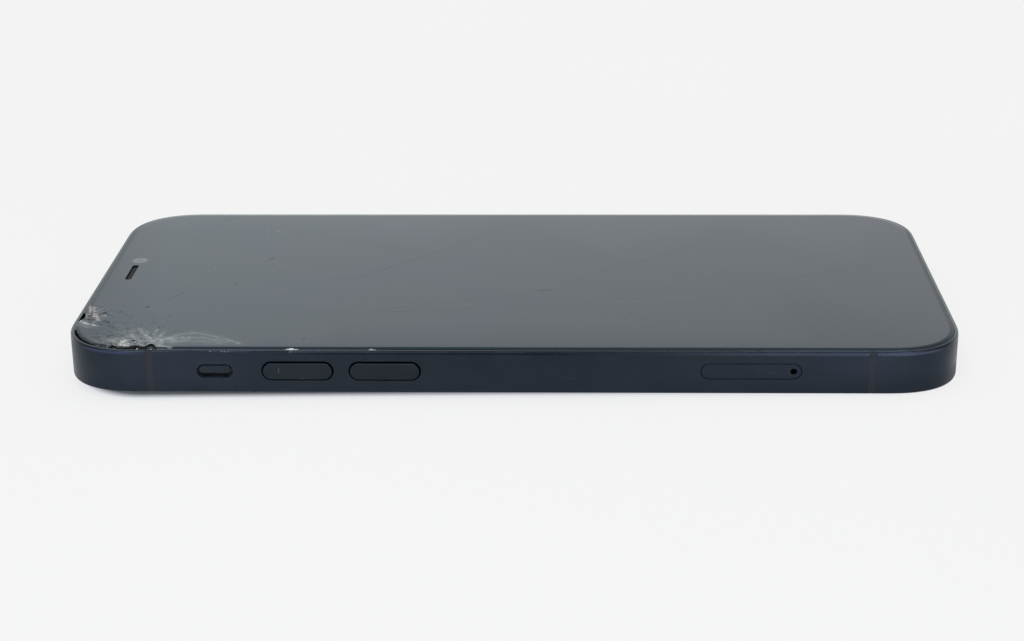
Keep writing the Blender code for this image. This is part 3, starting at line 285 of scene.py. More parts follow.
def closed_mesh(rings, name, wrap=False):
    """A closed mesh through a row of loops, without doubled points."""
    return to_mesh(merged(lofted(rings, wrap)), name)


def sharpened(mesh, degrees=25):
    """Smooth shading that keeps the edges crisp which turn by more than an angle."""
    mesh.shade_smooth()
    mesh.set_sharp_from_angle(angle=math.radians(degrees))
    return mesh


def add_object(name, data):
    added = bpy.data.objects.new(name, data)
    bpy.context.scene.collection.objects.link(added)
    return added


def add_piece(name, mesh, body, materials, stands_for=()):
    """Links a finished mesh as a piece that rides on a body."""
    piece = add_object(name, mesh)
    if mesh.materials:
        mesh.materials.clear()
    for material in materials:
        mesh.materials.append(material)
    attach(piece, body)
    if stands_for:
        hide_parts(*stands_for)
    return piece


def dress(node, mesh, materials, body="phone_body"):
    """Shows a finer mesh in place of a node."""
    return add_piece(f"fine_{node}", sharpened(mesh), body, materials, [node])


def carved(mesh, tools, operation="DIFFERENCE"):
    """The mesh after each closed tool mesh has been cut from it, or joined to it."""
    work = add_object("work", mesh)
    used = [work]
    for index, tool_mesh in enumerate(tools):
        tool = add_object(f"tool_{index}", tool_mesh)
        used.append(tool)
        step = work.modifiers.new(f"cut_{index}", "BOOLEAN")
        step.operation = operation
        step.solver = "MANIFOLD"
        step.object = tool
    bpy.context.view_layer.update()
    graph = bpy.context.evaluated_depsgraph_get()
    result = bpy.data.meshes.new_from_object(work.evaluated_get(graph), depsgraph=graph)
    for item in used:
        bpy.data.objects.remove(item, do_unlink=True)
    return result


OVERSHOOT = 1 * MM


def flared_tool(loop_at, axis, surface, inward, depth, edge=SLOT_EDGE):
    """A cutter for a slot whose mouth is eased: loop_at(grow) gives its outline."""
    rings = [place_points(loop_at(0.0), surface + inward * depth, axis)]
    for grow, down in quarter_round(edge, 4):
        rings.append(place_points(loop_at(grow), surface + inward * down, axis))
    rings.append(place_points(loop_at(edge), surface - inward * OVERSHOOT, axis))
    return closed_mesh(rings, "tool")


def rounded_cap(loop_at, axis, base, face, edge):
    """A key or cap: straight sides from its base, and a rounded edge round its face."""
    toward = 1 if face > base else -1
    rings = [place_points(loop_at(0.0), base, axis)]
    for inward, down in quarter_round(edge, 5):
        rings.append(place_points(loop_at(-inward), face - toward * down, axis))
    return closed_mesh(rings, "cap")


def box_mesh(low, high):
    made = bmesh.new()
    bmesh.ops.create_cube(made, size=1.0)
    for vert in made.verts:
        vert.co = Vector([high[axis] if vert.co[axis] > 0 else low[axis] for axis in range(3)])
    return to_mesh(made, "box")


# Materials

class Nodes:
    """A node tree, with short calls that add and link its nodes."""

    def __init__(self, tree):
        self.tree = tree
        self.tree.nodes.clear()

    def link(self, source, target):
        self.tree.links.new(source, target)

    def feed(self, socket, value):
        """Links a socket to another one or sets its value. A colour comes without its alpha."""
        if isinstance(value, bpy.types.NodeSocket):
            self.link(value, socket)
        elif socket.type == "RGBA":
            socket.default_value = rgb(*value)
        else:
            socket.default_value = value

    def add(self, kind, inputs=None, **settings):
        node = self.tree.nodes.new(kind)
        for key, value in settings.items():
            setattr(node, key, value)
        for key, value in (inputs or {}).items():
            self.feed(node.inputs[key], value)
        return node

    def ramp(self, value, low, high, start=0.0, end=1.0):
        """Takes a value's range low to high to another, and holds it at the ends."""
        inputs = {"Value": value, "From Min": low, "From Max": high, "To Min": start, "To Max": end}
        return self.add("ShaderNodeMapRange", inputs).outputs["Result"]

    def math(self, operation, first, second=0.0):
        return self.add("ShaderNodeMath", {0: first, 1: second}, operation=operation).outputs[0]

    def product(self, first, *others):
        for other in others:
            first = self.math("MULTIPLY", first, other)
        return first

    def distance(self, value, place):
        return self.math("ABSOLUTE", self.math("SUBTRACT", value, place))

    def window(self, value, rise, fall):
        """1 between a rise and a fall, each given by where it starts and where it ends."""
        return self.product(self.ramp(value, *rise), self.ramp(value, *fall, 1.0, 0.0))

    def vector(self, operation, first, second=(0, 0, 0)):
        node = self.add("ShaderNodeVectorMath", {0: first, 1: second}, operation=operation)
        return node.outputs["Value" if operation == "LENGTH" else "Vector"]

    def mix(self, share, first, second):
        node = self.add("ShaderNodeMix", data_type="RGBA")
        for index, value in ((0, share), (6, first), (7, second)):
            self.feed(node.inputs[index], value)
        return node.outputs[2]

    def either(self, share, first, second):
        """One of two shaders, or some of each."""
        return self.add("ShaderNodeMixShader", {0: share, 1: first, 2: second}).outputs[0]

    def steps(self, value, stops):
        """A colour for each (value, colour) stop, and smooth in between."""
        low, high = stops[0][0], stops[-1][0]
        node = self.add("ShaderNodeValToRGB", {"Fac": self.ramp(value, low, high)})
        elements = node.color_ramp.elements
        for place, _ in stops[1:-1]:
            elements.new((place - low) / (high - low))
        for element, (_, colour) in zip(elements, stops):
            element.color = rgb(*colour)
        return node.outputs["Color"]

    def seen_by(self, *kinds):
        """1 for rays of any of the kinds, such as Camera or Glossy."""
        paths = self.add("ShaderNodeLightPath")
        total = paths.outputs[f"Is {kinds[0]} Ray"]
        for kind in kinds[1:]:
            total = self.math("MAXIMUM", total, paths.outputs[f"Is {kind} Ray"])
        return total


class Finish(Nodes):
    """A node material with one main shader."""

    def __init__(self, name):
        self.material = bpy.data.materials.new(name)
        self.material.use_nodes = True
        super().__init__(self.material.node_tree)
        self.output = self.add("ShaderNodeOutputMaterial")
        self.shader = self.add("ShaderNodeBsdfPrincipled")
        self.link(self.shader.outputs["BSDF"], self.output.inputs["Surface"])
        self.place = self.add("ShaderNodeTexCoord").outputs["Object"]

    def set(self, **values):
        """Sets or links the main shader's sockets, whose spaces are written as underscores."""
        for key, value in values.items():
            self.feed(self.shader.inputs[key.replace("_", " ")], value)
        return self

    def axis(self, name):
        """One coordinate of the surface's place."""
        return self.add("ShaderNodeSeparateXYZ", {0: self.place}).outputs[name]

    def stretched(self, x, y, z):
        """The surface's place with each axis multiplied, for a pattern that runs one way."""
        return self.vector("MULTIPLY", self.place, (x, y, z))

    def noise(self, scale, detail=2.0, rough=0.5, place=None, distortion=0.0):
        """A noise whose scale is in features for each metre."""
        inputs = {
            "Vector": place or self.place,
            "Scale": scale,
            "Detail": detail,
            "Roughness": rough,
            "Distortion": distortion,
        }
        return self.add("ShaderNodeTexNoise", inputs).outputs["Fac"]

    def cells(self, scale, feature="F1"):
        inputs = {"Vector": self.place, "Scale": scale}
        return self.add("ShaderNodeTexVoronoi", inputs, feature=feature).outputs["Distance"]

    def attribute(self, name):
        return self.add("ShaderNodeAttribute", attribute_name=name).outputs["Fac"]

    def bump(self, height, distance, strength=1.0):
        inputs = {"Height": height, "Distance": distance, "Strength": strength}
        return self.add("ShaderNodeBump", inputs).outputs["Normal"]


def rgb(red, green, blue):
    return (red, green, blue, 1.0)


# Where the front edge gets a painted highlight: towards the two ends, the far side and the top
FAR_ENDS = (70.5 * MM, 72.5 * MM)
FAR_SIDE = (-10 * MM, 20 * MM)
FAR_TOP = (RIM_Z - 0.4 * MM, RIM_Z - 0.1 * MM)


def far_edge_highlight(made, height):
    """How much a place is on the front edge's far side or its two ends, which get a painted highlight."""
    ends = made.ramp(made.math("ABSOLUTE", made.axis("X")), *FAR_ENDS)
    away = made.math("MAXIMUM", ends, made.ramp(made.axis("Y"), *FAR_SIDE))
    return made.product(away, made.ramp(height, *FAR_TOP))


# Painted highlight and painted shade on the band's front rounding: how much lighter or darker its colour is
# than the side's, at places along the phone
PAINTED_EDGE_LIGHT_AND_SHADE = (
    (-70.0 * MM, (1.0, 1.0, 1.0)), (-68.0 * MM, (2.0, 1.9, 2.5)), (-63.5 * MM, (2.0, 1.9, 2.5)),
    (-59.0 * MM, (1.15, 1.1, 1.2)), (-50.0 * MM, (1.0, 1.0, 1.0)), (-38.0 * MM, (0.95, 0.95, 0.97)),
    (-30.0 * MM, (0.72, 0.66, 0.66)), (5.0 * MM, (0.62, 0.56, 0.58)), (14.0 * MM, (0.95, 0.97, 0.95)),
    (25.0 * MM, (1.1, 1.1, 1.1)), (41.0 * MM, (1.95, 1.9, 1.9)), (59.0 * MM, (2.0, 1.95, 2.1)),
    (64.0 * MM, (2.7, 2.5, 3.1)), (68.0 * MM, (2.2, 2.1, 2.4)), (70.0 * MM, (1.0, 1.0, 1.0)))


# Where the painted highlight and shade on the front rounding start and end, and where the painted light
# inside the ring switch's slot does
ROUNDING_STARTS = (RIM_Z - 0.68 * MM, RIM_Z - 0.5 * MM)
ROUNDING_ENDS = (RIM_Z - 0.26 * MM, RIM_Z - 0.12 * MM)
RING_SLOT_HALF = (3.3 * MM, 3.5 * MM)
RING_SLOT_STARTS = (0.25 * MM - HALF_WIDTH, 0.45 * MM - HALF_WIDTH)
RING_SLOT_ENDS = (3.0 * MM - HALF_WIDTH, 3.5 * MM - HALF_WIDTH)
# The rubbed rim, where along the phone its colour fades from lighter to darker as painted light, and its
# polish
RIM_TOP = (RIM_Z - 0.08 * MM, RIM_Z - 0.01 * MM)
PAINTED_RIM_LIGHT_X = (-30 * MM, 50 * MM)
RIM_POLISH = (RIM_Z - 0.45 * MM, RIM_Z - 0.2 * MM)


def marked(made, base, height, marks):
    """Light scratches across the side: each one's place, its two heights and its half width."""
    for place, low, high, half in marks:
        thin = made.ramp(made.distance(made.axis("X"), place), 0.0, half, 0.16, 0.0)
        between = made.window(height, (low - half, low), (high, high + half))
        base = made.mix(made.product(thin, between), base, (0.30, 0.32, 0.36))
    return base


def paint_rounding_and_slot_light(made, base, height):
    """Paints highlight and shade on the front rounding along the phone, and paints light inside the ring
    switch's slot. Lightens or darkens the front rounding along the phone, and the inside of the ring
    switch's slot.
    """
    # Painted highlight and shade: the front rounding's colour is made lighter or darker along the phone.
    painted_light_and_shade = made.vector("MULTIPLY", base, made.steps(made.axis("X"), PAINTED_EDGE_LIGHT_AND_SHADE))
    base = made.mix(made.window(height, ROUNDING_STARTS, ROUNDING_ENDS), base, painted_light_and_shade)
    # Painted light: the inside of the ring switch's slot gets a lighter colour, standing in for light that
    # reaches into it.
    beside = made.ramp(made.distance(made.axis("X"), RING_X), *RING_SLOT_HALF, 1.0, 0.0)
    inside = made.window(made.axis("Y"), RING_SLOT_STARTS, RING_SLOT_ENDS)
    return made.mix(made.product(beside, inside), base, (0.19, 0.21, 0.24))


def blasted_metal(name, colour, light, roughness=0.42, marks=()):
    """Dyed aluminium: a fine blasted grain, faint rubbed patches, hair scratches and a rubbed front rim, with
    painted highlights and shade on the front rounding, its far edge and its ends, and painted light in the
    ring switch's slot.
    """
    made = Finish(name)
    height = made.axis("Z")
    patches = made.ramp(made.noise(180.0, 4.0), 0.35, 0.7)
    hairs = made.noise(2600.0, 2.0, place=made.stretched(0.06, 1.0, 1.0))
    scratch = made.product(made.ramp(hairs, 0.69, 0.73), 0.10)
    scratched = made.mix(scratch, made.mix(patches, colour, light), (0.16, 0.17, 0.20))
    # The side's colour carries the painted highlight and shade on the front rounding and the painted light in
    # the ring switch's slot.
    side = paint_rounding_and_slot_light(made, marked(made, scratched, height, marks), height)
    worn = made.product(made.ramp(height, *RIM_TOP), made.ramp(made.noise(700.0, 3.0), 0.3, 0.6, 0.75, 1.0))
    # Painted highlight on the far edge and the two ends of the front edge.
    edge = far_edge_highlight(made, height)
    # The rubbed rim's colour: partly real wear, and partly painted light, lighter towards the earpiece end
    # and darker towards the charging end.
    rim_wear_and_painted_light = made.mix(made.ramp(made.axis("X"), *PAINTED_RIM_LIGHT_X), (0.078, 0.084, 0.090), (0.036, 0.040, 0.048))
    rim_wear_and_painted_light = made.mix(edge, rim_wear_and_painted_light, (0.15, 0.19, 0.19))
    # The side, with the rubbed rim and the painted highlight on the far edge and the ends laid over it.
    worn_and_painted_light = made.mix(made.math("MAXIMUM", worn, edge), side, rim_wear_and_painted_light)
    fine = made.noise(9000.0, 2.0)
    patchy = made.ramp(patches, 0, 1, roughness, roughness + 0.06)
    rough = made.math("ADD", made.ramp(fine, 0.3, 0.7, -0.04, 0.04), patchy)
    rough = made.math("SUBTRACT", rough, made.ramp(height, *RIM_POLISH, 0.0, 0.18))
    made.set(Base_Color=worn_and_painted_light, Metallic=1.0, Roughness=rough, Normal=made.bump(fine, 0.004 * MM, 0.6))
    return made.material


def moulded_plastic(name, colour, light, roughness=0.5, grain=5000.0, gloss=0.5, painted_far_highlight=False):
    """Speckled plastic; where asked, it gets a painted highlight on the far edge as the band does."""
    made = Finish(name)
    speckle = made.noise(grain, 3.0)
    base = made.mix(made.ramp(speckle, 0.35, 0.7), colour, light)
    if painted_far_highlight:
        # Painted highlight on the far edge.
        base = made.mix(far_edge_highlight(made, made.axis("Z")), base, (0.12, 0.155, 0.155))
    rough = made.ramp(made.noise(900.0, 3.0), 0.3, 0.7, roughness - 0.08, roughness + 0.08)
    made.set(Base_Color=base, Roughness=rough, IOR=1.46, Specular_IOR_Level=gloss)
    made.set(Normal=made.bump(speckle, 0.01 * MM, 0.5))
    return made.material


def bare_metal(name, colour, roughness=0.32, brushed=(1.0, 1.0, 1.0), dark=0.6):
    """Bare metal with brushing along the axis whose multiplier is small."""
    made = Finish(name)
    lines = made.noise(2200.0, 4.0, 0.6, place=made.stretched(*brushed))
    stains = made.ramp(made.noise(120.0, 4.0), 0.4, 0.7)
    deep = tuple(dark * part for part in colour)
    base = made.mix(made.product(stains, 0.6), colour, deep)
    rough = made.ramp(lines, 0.3, 0.7, roughness - 0.08, roughness + 0.1)
    made.set(Base_Color=base, Metallic=1.0, Roughness=rough, Normal=made.bump(lines, 0.006 * MM, 0.5))
    return made.material


def rounded_box_distance(made, centre, half, radius):
    """How far outside a rounded rectangle of the plan a point of the surface is."""
    folded = made.vector("ABSOLUTE", made.vector("SUBTRACT", made.place, (*centre, 0)))
    beyond = made.vector("SUBTRACT", folded, (half[0] - radius, half[1] - radius, 1.0))
    return made.math("SUBTRACT", made.vector("LENGTH", made.vector("MAXIMUM", beyond)), radius)


def cover_glass_finish():
    """Dark glass over an unlit display, with a black border, smears, dust and a frosted bloom."""
    made = Finish("cover_glass_finish")
    inset = 4.0 * MM
    display = (HALF_LENGTH - inset, HALF_WIDTH - inset)
    outside = rounded_box_distance(made, (0, 0), display, CORNER_REACH - inset)
    notch = rounded_box_distance(made, (-HALF_LENGTH + 4.9 * MM, 2.0 * MM), (4.0 * MM, 15.0 * MM), 3.2 * MM)
    border = made.ramp(outside, -0.02 * MM, 0.02 * MM)
    in_notch = made.ramp(notch, -0.02 * MM, 0.02 * MM, 1.0, 0.0)
    masked = made.math("MAXIMUM", border, in_notch)
    under = made.mix(masked, (0.0100, 0.0175, 0.0275), (0.0080, 0.0145, 0.0240))
    smear = made.noise(42.0, 5.0, 0.55, place=made.stretched(0.5, 1.0, 1.0), distortion=0.6)
    tint = made.mix(made.ramp(smear, 0.35, 0.68), under, (0.0125, 0.0190, 0.0245))
    dust = made.ramp(made.noise(2400.0, 1.0), 0.74, 0.80)
    sparse = made.product(dust, made.ramp(made.noise(60.0, 3.0), 0.5, 0.7))
    dusty = made.mix(made.product(sparse, 0.35), tint, (0.5, 0.5, 0.48))
    veins = made.noise(1500.0, 4.0, 0.65, distortion=0.4)
    frost = made.product(made.attribute("bloom"), made.ramp(veins, 0.25, 0.75, 0.6, 1.2))
    powder = made.mix(made.attribute("warmth"), (0.55, 0.58, 0.55), (0.60, 0.50, 0.45))
    base = made.mix(frost, dusty, powder)
    rough = made.math("ADD", made.ramp(smear, 0.3, 0.7, 0.06, 0.11), made.product(frost, 0.35))
    waves = made.noise(90.0, 2.0)
    made.set(Base_Color=base, Roughness=rough, IOR=1.51, Specular_Tint=(0.65, 0.92, 1.0))
    made.set(Normal=made.bump(waves, 0.01 * MM, 0.2))
    return made.material


def broken_glass_finish(name, colour, deep, roughness):
    """The raw face of a crack or a crumb, frosted in patches."""
    made = Finish(name)
    grain = made.noise(5200.0, 3.0, 0.7)
    patch = made.ramp(made.noise(1400.0, 3.0), 0.35, 0.65)
    base = made.mix(patch, deep, colour)
    made.set(Base_Color=base, Roughness=made.ramp(grain, 0.3, 0.7, roughness - 0.1, roughness + 0.15))
    made.set(IOR=1.5, Normal=made.bump(grain, 0.02 * MM, 0.8))
    return made.material


def ringed_value(made, centre):
    """The distance in the plan from a centre, for a pattern of rings."""
    moved = made.vector("SUBTRACT", made.place, (*centre, 0))
    return made.vector("LENGTH", made.vector("MULTIPLY", moved, (1, 1, 0)))


def camera_window_finish():
    """The front camera's pale ring, seen through the cover glass, with its small dark pupil."""
    made = Finish("camera_window")
    x, y, radius = FRONT_CAMERA
    reach = ringed_value(made, (x, y))
    grain = made.noise(3000.0, 2.0)
    metal = made.mix(grain, (0.085, 0.095, 0.110), (0.125, 0.135, 0.150))
    pupil = made.ramp(reach, 0.26 * MM, 0.32 * MM)
    lens = made.mix(pupil, (0.05, 0.055, 0.065), metal)
    rim = made.ramp(reach, radius - 0.12 * MM, radius - 0.02 * MM)
    made.set(Base_Color=made.mix(rim, lens, (0.05, 0.055, 0.06)), IOR=1.5)
    made.set(Roughness=made.ramp(grain, 0.3, 0.7, 0.08, 0.12), Normal=made.bump(grain, 0.002 * MM, 0.2))
    return made.material


def glossy_finish(name, colour, light, roughness=0.08):
    """A gloss surface with smears and fine dust."""
    made = Finish(name)
    smear = made.noise(55.0, 5.0, 0.6, distortion=0.5)
    base = made.mix(made.ramp(smear, 0.35, 0.7), colour, light)
    fine = made.noise(1600.0, 2.0)
    dust = made.ramp(fine, 0.72, 0.78)
    dusty = made.mix(made.product(dust, 0.12), base, (0.4, 0.4, 0.4))
    made.set(Base_Color=dusty, Roughness=made.ramp(smear, 0.3, 0.7, roughness - 0.02, roughness + 0.05))
    made.set(IOR=1.5, Normal=made.bump(fine, 0.001 * MM, 0.3))
    return made.material


def lens_cover_finish():
    made = Finish("lens_cover")
    smear = made.noise(300.0, 3.0)
    made.set(Base_Color=(0.86, 0.87, 0.90), Transmission_Weight=1.0, IOR=1.45)
    made.set(Roughness=made.ramp(smear, 0.4, 0.7, 0.0, 0.05), Normal=made.bump(smear, 0.002 * MM, 0.2))
    return made.material


def coated_lens_finish():
    """A lens whose coating shifts from violet to blue towards its rim."""
    made = Finish("coated_lens")
    edge = made.add("ShaderNodeLayerWeight", {"Blend": 0.4}).outputs["Facing"]
    stain = made.noise(700.0, 2.0)
    shift = made.math("ADD", edge, made.ramp(stain, 0.3, 0.7, -0.1, 0.1))
    tone = made.mix(shift, (0.012, 0.008, 0.030), (0.008, 0.020, 0.040))
    made.set(Base_Color=tone, Roughness=made.ramp(stain, 0.3, 0.7, 0.02, 0.06), IOR=1.6)
    return made.material


def wound_copper_finish(centre):
    """Enamelled wire wound flat in close turns."""
    made = Finish("wound_copper")
    turns = made.product(ringed_value(made, centre), 2 * math.pi / (0.45 * MM))
    wire = made.ramp(made.math("SINE", turns), -1, 1)
    base = made.mix(wire, (0.20, 0.07, 0.03), (0.72, 0.33, 0.17))
    aged = made.mix(made.product(made.noise(250.0, 3.0), 0.5), base, (0.35, 0.16, 0.09))
    made.set(Base_Color=aged, Metallic=1.0, Roughness=made.ramp(wire, 0, 1, 0.5, 0.3))
    made.set(Normal=made.bump(wire, 0.08 * MM))
    return made.material


def circuit_board_finish():
    """Dark green solder mask over fine tracks, with small tinned pads."""
    made = Finish("circuit_board")
    tracks = made.ramp(made.cells(900.0, "DISTANCE_TO_EDGE"), 0.03, 0.06)
    mask = made.mix(tracks, (0.020, 0.070, 0.040), (0.010, 0.032, 0.020))
    pads = made.ramp(made.cells(1500.0), 0.16, 0.2, 1.0, 0.0)
    some = made.product(pads, made.ramp(made.noise(200.0, 2.0), 0.5, 0.56))
    made.set(Base_Color=made.mix(some, mask, (0.62, 0.58, 0.46)), Metallic=some)
    made.set(Roughness=made.ramp(made.noise(600.0, 3.0), 0.3, 0.7, 0.35, 0.5))
    made.set(Normal=made.bump(tracks, 0.02 * MM, 0.6))
    return made.material


BAND_METAL = blasted_metal("band_metal", (0.0215, 0.0285, 0.0385), (0.0250, 0.0330, 0.0430))
KEY_MARKS = (
    (-37.4 * MM, 5.1 * MM, 5.9 * MM, 0.12 * MM), (-33.6 * MM, 3.9 * MM, 4.2 * MM, 0.16 * MM))
KEY_METAL = blasted_metal(
    "key_metal", (0.0205, 0.0265, 0.0330), (0.0240, 0.0300, 0.0370), 0.38, marks=KEY_MARKS)
NICKED_METAL = bare_metal("nicked_metal", (0.15, 0.165, 0.21), 0.45)
BREAK_PLASTIC = moulded_plastic(
    "break_plastic", (0.0055, 0.0090, 0.0155), (0.0085, 0.0120, 0.0195), 0.5, gloss=0.35, painted_far_highlight=True)
COVER_GLASS = cover_glass_finish()
PALE_CRACK = broken_glass_finish("pale_crack", (0.34, 0.36, 0.35), (0.16, 0.17, 0.17), 0.35)
DARK_CRACK = broken_glass_finish("dark_crack", (0.030, 0.030, 0.032), (0.012, 0.012, 0.013), 0.4)
WHITE_CRUMB = broken_glass_finish("white_crumb", (0.78, 0.78, 0.74), (0.42, 0.41, 0.38), 0.4)
CAMERA_WINDOW = camera_window_finish()
REAR_GLASS = glossy_finish("rear_glass", (0.0060, 0.0110, 0.0200), (0.0075, 0.0130, 0.0225))
ISLAND_GLASS = moulded_plastic(
    "island_glass", (0.0080, 0.0130, 0.0220), (0.0100, 0.0160, 0.0260), 0.35, 9000.0)
LENS_COVER = lens_cover_finish()
COATED_LENS = coated_lens_finish()
LENS_BLACK = moulded_plastic("lens_black", (0.006, 0.006, 0.007), (0.010, 0.010, 0.011), 0.45)
MESH_BLACK = moulded_plastic("mesh_black", (0.026, 0.028, 0.028), (0.036, 0.038, 0.038), 0.7, gloss=0.12)
FLASH_WHITE = moulded_plastic("flash_white", (0.78, 0.72, 0.55), (0.85, 0.80, 0.64), 0.2, 2000.0)
BLACK_PLASTIC = moulded_plastic("black_plastic", (0.012, 0.012, 0.013), (0.020, 0.020, 0.021))
DISPLAY_FILM = glossy_finish("display_film", (0.008, 0.008, 0.009), (0.012, 0.012, 0.013), 0.3)
STAMPED_STEEL = bare_metal("stamped_steel", (0.56, 0.56, 0.57), 0.34, (0.05, 1.0, 1.0))
DARK_STEEL = bare_metal("dark_steel", (0.26, 0.26, 0.27), 0.36, (1.0, 0.05, 1.0))
PLATE_METAL = bare_metal("plate_metal", (0.63, 0.64, 0.66), 0.38, (0.04, 1.0, 1.0), 0.75)
CONTACT_GOLD = bare_metal("contact_gold", (0.80, 0.60, 0.30), 0.28)
COIL_WIRE = wound_copper_finish((-2.0 * MM, 0.0))
CELL_WRAP = moulded_plastic("cell_wrap", (0.040, 0.040, 0.042), (0.055, 0.055, 0.057), 0.42, 2500.0)
BOARD_MASK = circuit_board_finish()
GLASS_FINISHES = (COVER_GLASS, PALE_CRACK, DARK_CRACK, WHITE_CRUMB, CAMERA_WINDOW)


# Band

def band_profile():
    """(inset, height) round the section of the band, from its outer face over the front."""
    section = []
    for inward, down in quarter_round(BAND_EDGE, 8):
        section.append((BAND_EDGE_SHARE * inward, RIM_Z - down))
    section += [(RIM - BAND_BEVEL, RIM_Z), (RIM, RIM_Z - BAND_BEVEL), (RIM, SHELF_HIGH)]
    section += [(WALL, SHELF_HIGH), (WALL, SHELF_LOW), (RIM, SHELF_LOW)]
    section += [(RIM, BACK_Z + BAND_BEVEL), (RIM - BAND_BEVEL, BACK_Z)]
    for inward, down in reversed(quarter_round(BAND_EDGE, 8)):
        section.append((BAND_EDGE_SHARE * inward, BACK_Z + down))
    return section


# Nicks in the near edge: where, half their length and their depth, in millimetres
NICKS = ((-45.8, 0.5, 0.09), (-46.6, 0.2, 0.05), (-48.4, 0.2, 0.04), (-35.4, 0.3, 0.04))
NICK_STEP = 0.08
BARE_NICK = 0.015 * MM


def nick_stops():
    """Extra places along the near side, so that the nicks in its edge have a shape."""
    stops = []
    for centre, half, _ in NICKS:
        count = int(2 * half / NICK_STEP) + 1
        stops += [(centre - half + NICK_STEP * index) * MM for index in range(count + 1)]
    return stops


def band_cuts():
    """Places on the loop where the band is cut, by side, as (from, to) of each moulded break."""
    half = BREAK_WIDTH / 2
    along = [x + s * half for x in (UPPER_BREAK_X, LOWER_BREAK_X) for s in (-1, 1)]
    top = [TOP_BREAK_Y - half, TOP_BREAK_Y + half]
    bottom = [BOTTOM_BREAK_Y - half, BOTTOM_BREAK_Y + half]
    return along, top, bottom


def nick_depth(x, y, z):
    """How deep the edge is worn at a point."""
    if y > -HALF_WIDTH + 1.5 * BAND_EDGE or z < RIM_Z - 0.4 * BAND_EDGE:
        return 0.0
    for centre, half, depth in NICKS:
        share = abs(x / MM - centre) / half
        if share < 1:
            ragged = 0.6 + 0.8 * noise.noise(Vector((x / MM * 5, 0.5, centre)))
            return depth * MM * (1 - share * share) * max(ragged, 0.15)
    return 0.0


def on_cut(point, places, axis, edge):
    """Whether a point of the outline lies on a cut, of the two long sides or of one end."""
    along, away = (point.x, abs(point.y)) if axis == "X" else (point.y, point.x)
    return abs(away - edge) < DOUBLED and min(abs(along - place) for place in places) < DOUBLED


def band_runs():
    """The band's loops, one for each point of its section, and the stretches between the cuts."""
    along, top, bottom = band_cuts()
    near = along + [x for x in nick_stops() if min(abs(x - cut) for cut in along) > 0.05 * MM]
    loops = [
        place_points(phone_loop(inset, (along, near), (bottom, top)), height, "Z")
        for inset, height in band_profile()
    ]
    cuts = ((along, "X", HALF_WIDTH), (top, "Y", -HALF_LENGTH), (bottom, "Y", HALF_LENGTH))
    count = len(loops[0])
    marks = [index for index, point in enumerate(loops[0]) if any(on_cut(point, *cut) for cut in cuts)]
    runs = []
    for mark, following in zip(marks, marks[1:] + [marks[0] + count]):
        runs.append([index % count for index in range(mark, following + 1)])
    return loops, runs


def run_name(points):
    """Names a stretch of the band by where its middle is."""
    middle = sum(points, Vector()) / len(points)
    length = sum((b - a).length for a, b in zip(points, points[1:]))
    if length < 2 * BREAK_WIDTH:
        if abs(middle.y) > HALF_WIDTH - WALL:
            side = "left" if middle.y < 0 else "right"
            return f"antenna_break_{side}_{'upper' if middle.x < 0 else 'lower'}"
        return "antenna_break_top" if middle.x < 0 else "antenna_break_bottom"
    if min(p.x for p in points) > 0 or max(p.x for p in points) < 0:
        end = "top" if middle.x < 0 else "bottom"
        ends = [point.y for point in (points[0], points[-1])]
        return f"frame_{end}_{'left' if min(ends) < -HALF_WIDTH + WALL else 'right'}_corner"
    return f"frame_{'left' if middle.y < 0 else 'right'}_rail"


# The node that is cut, the piece that goes through it, the slot's size, its height and its edge
SIDE_SLOTS = (
    ("frame_left_rail", "volume_up_button", VOLUME_SLOT, KEY_Z, SLOT_EDGE),
    ("frame_left_rail", "volume_down_button", VOLUME_SLOT, KEY_Z, SLOT_EDGE),
    ("frame_left_rail", "ring_switch", RING_SLOT, RING_Z, SLOT_EDGE),
    ("frame_right_rail", "side_button", SIDE_KEY_SLOT, KEY_Z, SLOT_EDGE),
    ("frame_left_rail", "sim_tray", TRAY_SLOT, TRAY_Z, TRAY_SLOT_EDGE),
)


def slot_tools():
    """Cutters for each piece of the band, by node."""
    tools = defaultdict(list)

    def cut_end(node, loop_at, edge, depth=SLOT_DEPTH):
        tools[node].append(flared_tool(loop_at, "X", HALF_LENGTH, -1, depth, edge))

    for rail, node, size, z, edge in SIDE_SLOTS:
        x = middle_of(node)[0]
        side = 1 if rail == "frame_right_rail" else -1
        tools[rail].append(flared_tool(
            lambda grow: stadium((x, z), *size, 12, grow), "Y", side * HALF_WIDTH, -side, SLOT_DEPTH, edge))
    right, left = "frame_bottom_right_corner", "frame_bottom_left_corner"
    cut_end(right, lambda grow: stadium((0, MIDDLE_Z), *PORT_SLOT, 12, grow), PORT_SLOT_EDGE)
    for y in sound_places():
        node = right if y > BOTTOM_BREAK_Y else left
        cut_end(node, lambda grow: circle((y, MIDDLE_Z), SOUND_HOLE + grow, 8), SOUND_HOLE_EDGE)
    for y in (-SCREW_Y, SCREW_Y):
        cut_end(
            right, lambda grow: circle((y, MIDDLE_Z), SCREW_SEAT + grow, 8),
            SCREW_SEAT_EDGE, SCREW_SEAT_DEPTH)
        cut_end(right, lambda grow: circle((y, MIDDLE_Z), SCREW_HOLE + grow, 6), 0.0)
    return tools


def sound_places():
    speaker = [SOUND_START + SOUND_PITCH * index for index in range(SPEAKER_HOLES)]
    microphone = [-SOUND_START - SOUND_PITCH * index for index in range(MICROPHONE_HOLES)]
    return speaker + microphone


def shorten(rings, slit):
    """Draws a short stretch's two ends together, so that a thin joint shows on each side."""
    for first, last in ((rings[0], rings[1]), (rings[-1], rings[-2])):
        for point, following in zip(first, last):
            point += (following - point).normalized() * slit


